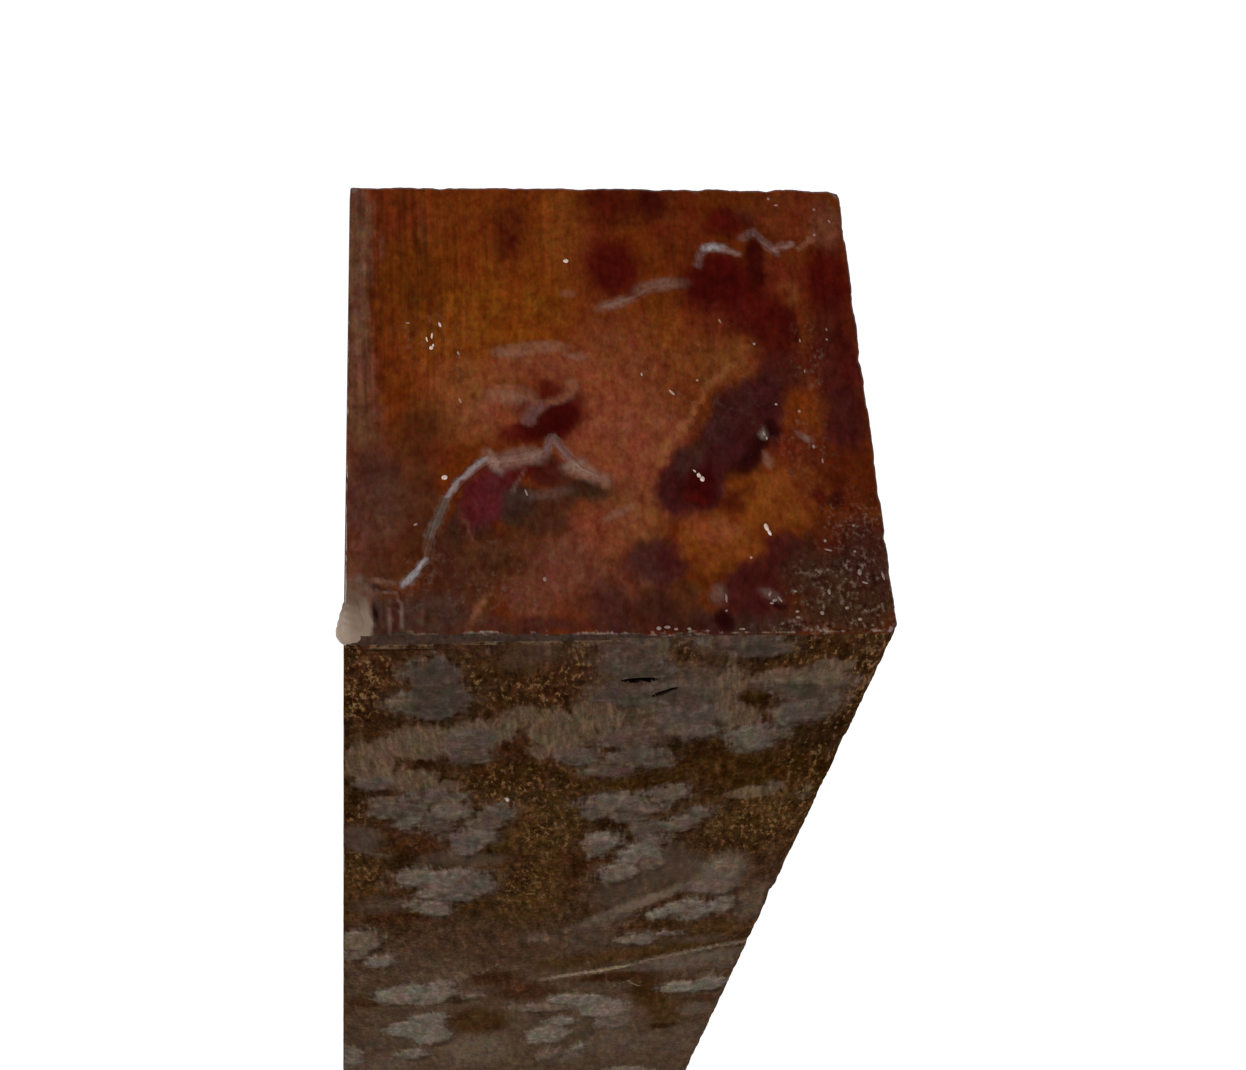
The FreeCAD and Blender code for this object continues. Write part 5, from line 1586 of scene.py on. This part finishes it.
    def _paint_marks(self, marks: Array, points: Array, sides: Array) -> None:
        """Colours that lie over the figure: seams, splits painted black as shade in their depth, and the
        broken arris with its painted highlights.

        Args:
            marks: One row of red, green, blue and cover per point, filled in here.
            points: The points, in millimetres.
            sides: The face that each lies on.
        """
        across, below = self._face_place(Side.FRONT, points)
        front = sides == Side.FRONT
        shares = self.arris.marks(points, across, below, sides)
        bends = [height * ripple(points, width, seed) for height, width, seed in self.seam_sways]
        for route, width, tone, weight in SEAMS:
            gap = distance_to_route(route, across + bends[0], below + bends[1])
            shares.append((tone, weight * (1 - smooth(gap, self.seam_core * width, width)) * front))
        shares.append((FLECK_TONE, WAX_FLECK.cover(across, below) * front))
        for tone, share in shares:
            share = share[:, None]
            laid = marks[:, :3] * (1 - share) + np.array(linear(tone))[:3] * share
            marks[:, :3] = np.where(share > self.least_mark, laid, marks[:, :3])
            marks[:, 3] = np.maximum(marks[:, 3], share[:, 0])
        marks[:, :3] = np.clip(marks[:, :3] / np.maximum(marks[:, 3:4], self.least_mark), 0, 1)
        # The inside of each split is painted black: painted shade in its depth
        for split in self.splits:
            share = smooth(split.inside(across, below), -self.split_edge, 0.0) * front
            marks[:, :3] = np.where(share[:, None] > 0, linear(Stain.BLACK.value)[:3], marks[:, :3])
            marks[:, 3] = np.maximum(marks[:, 3], share)

    def _weather(self, points: Array, sides: Array) -> Array:
        """Breaks the arris, bites the chips and sinks the splits, then roughens the faces.

        Args:
            points: The sawn block's vertices, in millimetres.
            sides: The face that each lies on.

        Returns:
            The vertices moved.
        """
        shaped = points.copy()
        across, below = self._face_place(Side.FRONT, points)
        for split in self.splits:
            inside = split.inside(across, below) * (sides == Side.FRONT)
            shaped[:, 1] += split.depth * np.clip(inside / (self.split_wall * split.gape), 0, 1)
        shaped = self.arris.broken(shaped)
        for depth, length, below_head in self.chips:
            radius = (length / 2) ** 2 / (2 * depth) + depth / 2
            diagonal = np.array([1, -1, 0]) / math.sqrt(2)
            inset = self.eases[1] * (math.sqrt(2) - 1)
            arris = np.array([WIDTH / 2, -DEPTH / 2, LENGTH - below_head])
            middle = arris + diagonal * (radius - depth - inset)
            away = shaped - middle
            reach = np.linalg.norm(away, axis=1, keepdims=True)
            shaped = np.where(reach < radius, middle + away / reach * radius, shaped)
        return self._wear(shaped)

    def _wear(self, points: Array) -> Array:
        """Frays the arrises inwards a little, as a coarse saw leaves them."""
        centre = np.array([SIDE_LEAN / 4, 0, LENGTH / 2])
        half = np.array([WIDTH / 2, DEPTH / 2, LENGTH / 2])
        inset = half - np.abs(points - centre)
        room = np.sort(inset, axis=1)[:, 1]
        wide, coarse, fine = (
            height * np.clip(ripple(points, width, seed) + lift, 0, 1)
            for height, width, seed, lift in self.bites
        )
        bite = wide + (coarse + fine) * self._finely_cut(points[:, 1], points[:, 2])
        depth = self.wear * bite * (1 - smooth(room, *self.wear_reach))
        inwards = -np.sign(points - centre) * (inset < self.wear_reach[1])
        return points + inwards * depth[:, None]


@dataclass(frozen=True)
class Bead:
    """A speck of wax with a painted glint: its place, its half sizes, its lean, and its shine, the share of
    painted glint white on it.
    """

    across: float
    along: float
    half_across: float
    half_along: float
    lean: float = 0.0
    shine: float = 0.3


# Specks of wax that stand on the head end, each painted white in part as a glint
BEADS = [
    Bead(*row)
    for row in (
        (33.6, 17, 0.2, 0.28, 20, 1), (33.9, 16.6, 0.22, 0.3, -10, 1), (33.2, 17.5, 0.1, 0.2, 40, 1),
        (39.55, 11.3, 0.22, 0.42, 15, 1), (39.8, 10.7, 0.16, 0.32, 20, 1), (39.2, 4.3, 0.14, 0.3, -20),
        (39.6, 3.6, 0.26, 0.16, 20), (40.1, 3.7, 0.12, 0.36, 30), (39.3, 3.3, 0.2, 0.12),
        (35.1, 3.9, 0.1, 0.5), (35, 2.6, 0.12, 0.12), (9.5, 17, 0.3, 0.26, 30, 1),
        (22.2, 41.8, 0.28, 0.24, 0, 1), (9.5, 34.2, 0.13, 0.3, 15, 1), (8.7, 32.9, 0.1, 0.36, -5, 1),
        (8.2, 32.5, 0.09, 0.3, 15, 1), (8.6, 31.5, 0.2, 0.22, 0, 1), (8.8, 31.8, 0.1, 0.18, 0, 1),
        (6.4, 34.4, 0.2, 0.09, 0, 0.35), (11.2, 30.9, 0.13, 0.2, 15, 0.35),
        (11.2, 25.5, 0.1, 0.3, 20, 0.35), (6.7, 12, 0.22, 0.12, 25, 0.35), (17.1, 15.3, 0.1, 0.4, 15, 0.35),
        (28.9, 28.4, 0.12, 0.2, 10, 0.35), (31.7, 26.3, 0.12, 0.4, 40, 0.5),
        (34.3, 27.7, 0.14, 0.14, 0, 0.35), (18.4, 6.1, 0.18, 0.24), (7.1, 7.6, 0.14, 0.44, -38, 1),
        (6.7, 7.2, 0.1, 0.3, -30, 0.35), (40.3, 21.6, 0.14, 0.3, 10, 0.35),
        (40.5, 21.1, 0.12, 0.2, 0, 0.35), (45, 20.1, 0.14, 0.24), (45.7, 18.5, 0.1, 0.3),
        (40.3, 31.9, 0.16, 0.16, 0, 0.35), (44.9, 32.3, 0.1, 0.24), (47.7, 33.6, 0.1, 0.18),
        (47.6, 32.4, 0.12, 0.12), (45, 28.7, 0.08, 0.2), (37.1, 34.6, 0.1, 0.3, 20, 0.25),
        (43.4, 49.6, 0.14, 0.18, 20), (44.1, 48.8, 0.22, 0.12), (48, 48.3, 0.14, 0.18),
        (49.4, 46.8, 0.12, 0.22, 20), (47.7, 45.1, 0.14, 0.18), (44, 24.1, 0.16, 0.18),
        (41.8, 24.9, 0.14, 0.14, 0, 0.35), (37.8, 8.1, 0.14, 0.14, 0, 0.35), (47.9, 11.4, 0.14, 0.14),
        (45, 9.8, 0.14, 0.18), (45.2, 8.8, 0.4, 0.1, -15), (47.9, 6.4, 0.2, 0.34), (47.7, 8.6, 0.14, 0.14),
        (43.9, 2.2, 0.2, 0.2), (47.4, 1.5, 0.22, 0.16), (41.6, 2.4, 0.18, 0.14), (41.6, 1.8, 0.2, 0.16),
        (41.6, 4.5, 0.18, 0.12), (44.8, 4.4, 0.16, 0.3), (48.3, 5.3, 0.3, 0.12, -20),
        (50.1, 6, 0.12, 0.5, 10), (46.3, 2.7, 0.2, 0.14), (28.6, 0.9, 0.24, 0.2), (29.4, 1, 0.3, 0.16),
        (30.2, 0.8, 0.2, 0.14), (31.4, 0.8, 0.2, 0.14), (36.3, 0.7, 0.3, 0.12),
    )
]


@dataclass
class WaxRuns:
    """The wax that stands proud of the head end: a drop on its corner, runs and beads."""

    height: float = 0.28
    voxel: float = 0.12
    flat_from: float = 13.0
    flatness: float = 0.6
    step: float = 0.2
    # How far the width swings along a run, and the length of a swing
    swell: float = 0.25
    swell_length: float = 0.9
    # The first run's pattern; each other run takes the next one
    swell_seed: float = 7.0
    relaxed: float = 0.5
    bead_height: float = 0.6
    routes: tuple[tuple[Triple, ...], ...] = (
        (
            (5.1, 5.3, 0.5),
            (6.3, 6.6, 0.8),
            (7.5, 8.1, 0.85),
            (7.9, 9.8, 0.6),
            (8.6, 12.0, 0.8),
            (9.5, 14.3, 0.7),
            (10.5, 16.0, 0.9),
            (12.0, 17.7, 1.0),
            (13.6, 18.9, 1.0),
            (15.3, 18.9, 0.9),
            (17.6, 19.3, 0.9),
            (19.3, 20.2, 0.7),
            (19.9, 21.2, 0.7),
            (21.2, 19.2, 0.7),
            (22.4, 17.9, 0.5),
            (24.2, 16.9, 0.35),
        ),
        ((25.7, 36.3, 0.5), (27.3, 36.9, 0.6), (28.9, 37.6, 0.6), (30.4, 38.6, 0.6), (32.8, 39.0, 0.5)),
        ((35.4, 41.4, 0.5), (35.8, 42.6, 0.6), (37.2, 43.6, 0.8), (39.5, 42.9, 0.5)),
        (
            (41.4, 45.1, 0.5),
            (42.8, 43.8, 0.6),
            (43.6, 43.1, 0.7),
            (45.2, 43.9, 0.5),
            (46.0, 43.4, 0.4),
            (47.4, 44.5, 0.3),
        ),
    )
    # The drop's blobs: across, along, the half sizes, the half height and how deep it sits
    drop: tuple[tuple[float, ...], ...] = (
        (0.5, 1.35, 1.25, 1.3, 1.2, 0.75),
        (0.58, 1.9, 1.2, 1.5, 1.1, 0.7),
        (0.7, 2.6, 1.15, 1.6, 0.9, 0.58),
        (0.85, 3.4, 1.05, 1.6, 0.65, 0.45),
        (1.1, 1.9, 1.15, 1.8, 0.75, 0.5),
    )

    def build(self) -> bpy.types.Object:
        """Models the wax as one poured skin, with its beads.

        Returns:
            The finished piece, which stands for the wax's solids.
        """
        poured = bmesh.new()
        for number, route in enumerate(self.routes):
            for across, along, width in self._places_along(route, number):
                flatness = self.flatness if number or across > self.flat_from else 1.0
                rise = self.height * min(1.0, width) * flatness
                self._blob(poured, Bead(across, along, width / 2, width / 2), rise)
        self._drop(poured)
        seed = bpy.data.meshes.new("poured_wax_seed")
        poured.to_mesh(seed)
        poured.free()
        piece = bpy.data.objects.new("poured_wax", seed)
        bpy.context.scene.collection.objects.link(piece)
        skin = piece.modifiers.new("skin", "REMESH")
        skin.mode = "VOXEL"
        skin.voxel_size = self.voxel * MM
        relax = piece.modifiers.new("relax", "SMOOTH")
        relax.factor = self.relaxed
        relax.iterations = 3
        depsgraph = bpy.context.evaluated_depsgraph_get()
        skinned = bpy.data.meshes.new_from_object(piece.evaluated_get(depsgraph))
        piece.modifiers.clear()
        whole = bmesh.new()
        whole.from_mesh(skinned)
        first_bead = len(whole.verts)
        for bead in BEADS:
            self._blob(whole, bead, self.bead_height * min(bead.half_across, bead.half_along))
        mesh = bpy.data.meshes.new("poured_wax")
        whole.to_mesh(mesh)
        whole.free()
        piece.data = mesh
        mesh.materials.append(SealingWax().build())
        points = np.array([vert.co for vert in mesh.vertices]) / MM
        paint_head(mesh, points)
        self._whiten_beads(mesh, first_bead)
        for face in mesh.polygons:
            face.use_smooth = True
        return piece

    def _places_along(self, route: tuple[Triple, ...], number: int) -> Iterable[Triple]:
        """Places along a route, close together, each with the run's width there."""
        for start, end in zip(np.array(route), np.array(route[1:])):
            count = max(2, int(np.linalg.norm((end - start)[:2]) / self.step))
            for share in np.arange(count) / count:
                across, along, width = start + share * (end - start)
                place = (across / self.swell_length, along / self.swell_length, self.swell_seed + number)
                yield across, along, width * (1 + self.swell * noise.noise(Vector(place)))

    def _blob(self, bm: bmesh.types.BMesh, bead: Bead, rise: float, sink: float = 0.0) -> None:
        """Adds a low rounded blob on the head end.

        Args:
            bm: The mesh to add to, in metres.
            bead: Its place and its half sizes.
            rise: Its half height.
            sink: How far its middle lies below the head.
        """
        level = float(head_height(bead.across)) - sink
        middle = Vector((bead.across - WIDTH / 2, bead.along - DEPTH / 2, level)) * MM
        turn = Matrix.Rotation(math.radians(bead.lean), 4, "Z")
        sizes = [size * MM for size in (bead.half_across, bead.half_along, rise)]
        shape = Matrix.Translation(middle) @ turn @ Matrix.Diagonal((*sizes, 1))
        bmesh.ops.create_icosphere(bm, subdivisions=2, radius=1.0, matrix=shape)

    def _drop(self, bm: bmesh.types.BMesh) -> None:
        """Adds the thick drop that clings over the left arris, blunt to the front."""
        for *sizes, rise, sink in self.drop:
            self._blob(bm, Bead(*sizes), rise, sink)

    def _whiten_beads(self, mesh: bpy.types.Mesh, first: int) -> None:
        """Paints the beads, which come last in the mesh, with their share of white as a painted glint."""
        white = linear(Stain.WAX_WHITE.value)
        tones = mesh.attributes["wax_tone"].data
        milk = mesh.attributes["milk"].data
        each = (len(mesh.vertices) - first) // len(BEADS)
        for place in range(first, len(mesh.vertices)):
            tones[place].color = white
            milk[place].value = BEADS[(place - first) // each].shine


@dataclass
class Studio:
    """Floor, backdrop, lamps and the camera at the photograph's place."""

    floor_radius: float = 3.0  # metres
    floor_sides: int = 96
    wall: float = 1.6  # metres
    # Each softbox's name, place and side in metres, and power in watts
    lamps: tuple[tuple[str, Triple, float, float], ...] = (
        ("left_softbox", (-0.60, 0.20, 0.62), 0.45, 5.0),
        ("right_softbox", (0.62, -0.34, 0.58), 0.55, 4.2),
        ("front_softbox", (-0.25, -0.78, 0.42), 0.50, 3.4),
    )
    aim: Triple = (0, 0, 0.12)  # metres
    lens: float = 65.6
    sensor: float = 36.0
    camera_place: Triple = (-25.9, -115.5, 336.3)
    camera_azimuth: float = 14.7
    camera_down: float = 60.52
    camera_roll: float = 12.6
    nearest: float = 0.01  # metres
    sky: float = 0.03

    def build(self) -> None:
        """Sets the whole studio up."""
        self._floor()
        self._world()
        for lamp in self.lamps:
            self._lamp(*lamp)
        self._camera()
        bpy.context.scene.view_settings.view_transform = "Standard"

    def _floor(self) -> None:
        """A round floor with a low wall curved up all about it."""
        bm = bmesh.new()
        bmesh.ops.create_circle(bm, cap_ends=True, radius=self.floor_radius, segments=self.floor_sides)
        rim = [edge for edge in bm.edges if edge.is_boundary]
        grown = bmesh.ops.extrude_edge_only(bm, edges=rim)
        top = [item for item in grown["geom"] if isinstance(item, bmesh.types.BMVert)]
        bmesh.ops.translate(bm, vec=(0, 0, self.wall), verts=top)
        mesh = bpy.data.meshes.new("studio_floor")
        bm.to_mesh(mesh)
        bm.free()
        mesh.materials.append(PaleStage().build())
        floor = bpy.data.objects.new("studio_floor", mesh)
        bpy.context.scene.collection.objects.link(floor)
        floor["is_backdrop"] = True

    def _world(self) -> None:
        """A dim grey sky, so that the wax stays clear from above."""
        world = bpy.data.worlds.new("studio")
        world.use_nodes = True
        world.node_tree.nodes.clear()
        sky = add_node(world.node_tree, "Background", {"Color": WHITE, "Strength": self.sky})
        add_node(world.node_tree, "OutputWorld", {"Surface": sky})
        bpy.context.scene.world = world

    def _lamp(self, name: str, place: Triple, size: float, power: float) -> None:
        """Adds a square softbox that looks at the head of the block.

        Args:
            name: The lamp's name.
            place: Where it hangs, in metres.
            size: Its side, in metres.
            power: Its power, in watts.
        """
        lamp = bpy.data.lights.new(name, "AREA")
        lamp.shape = "SQUARE"
        lamp.size = size
        lamp.energy = power
        holder = bpy.data.objects.new(name, lamp)
        holder.location = place
        aim = Vector(self.aim) - Vector(place)
        holder.rotation_mode = "QUATERNION"
        holder.rotation_quaternion = aim.to_track_quat("-Z", "Y")
        bpy.context.scene.collection.objects.link(holder)

    def _camera(self) -> None:
        """A close-up from above, a little to the left, rolled as it was held."""
        data = bpy.data.cameras.new("camera")
        data.lens = self.lens
        data.sensor_width = self.sensor
        data.clip_start = self.nearest
        camera = bpy.data.objects.new("camera", data)
        azimuth = math.radians(self.camera_azimuth)
        down = math.radians(self.camera_down)
        forward = Vector(
            (math.sin(azimuth) * math.cos(down), math.cos(azimuth) * math.cos(down), -math.sin(down))
        )
        camera.location = Vector(self.camera_place) * MM
        camera.rotation_mode = "QUATERNION"
        roll = Quaternion((0, 0, 1), math.radians(self.camera_roll))
        camera.rotation_quaternion = forward.to_track_quat("-Z", "Y") @ roll
        bpy.context.scene.collection.objects.link(camera)
        bpy.context.scene.camera = camera


def declare(piece: bpy.types.Object, node: str) -> None:
    """Seats a piece on the frame in place of its solid, and reports it.

    Args:
        piece: The finished piece.
        node: The solid that it stands for.
    """
    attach(piece, "root")
    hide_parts(node)
    triangles = sum(len(face.vertices) - 2 for face in piece.data.polygons)
    log.info("%s stands for %s: %d triangles", piece.name, node, triangles)


def main() -> None:
    """Builds the pieces and the studio."""
    logging.basicConfig(level=logging.INFO, format="%(name)s: %(message)s")
    solid_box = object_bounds()
    declare(BurlBlock().build(), "burl_blank")
    declare(WaxRuns().build(), "wax_runs")
    Studio().build()
    visual_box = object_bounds()
    boxes = {"cad": solid_box, "visual": visual_box}
    sizes = {name: [list(corner) for corner in box] for name, box in boxes.items()}


if __name__ == "__main__":
    main()
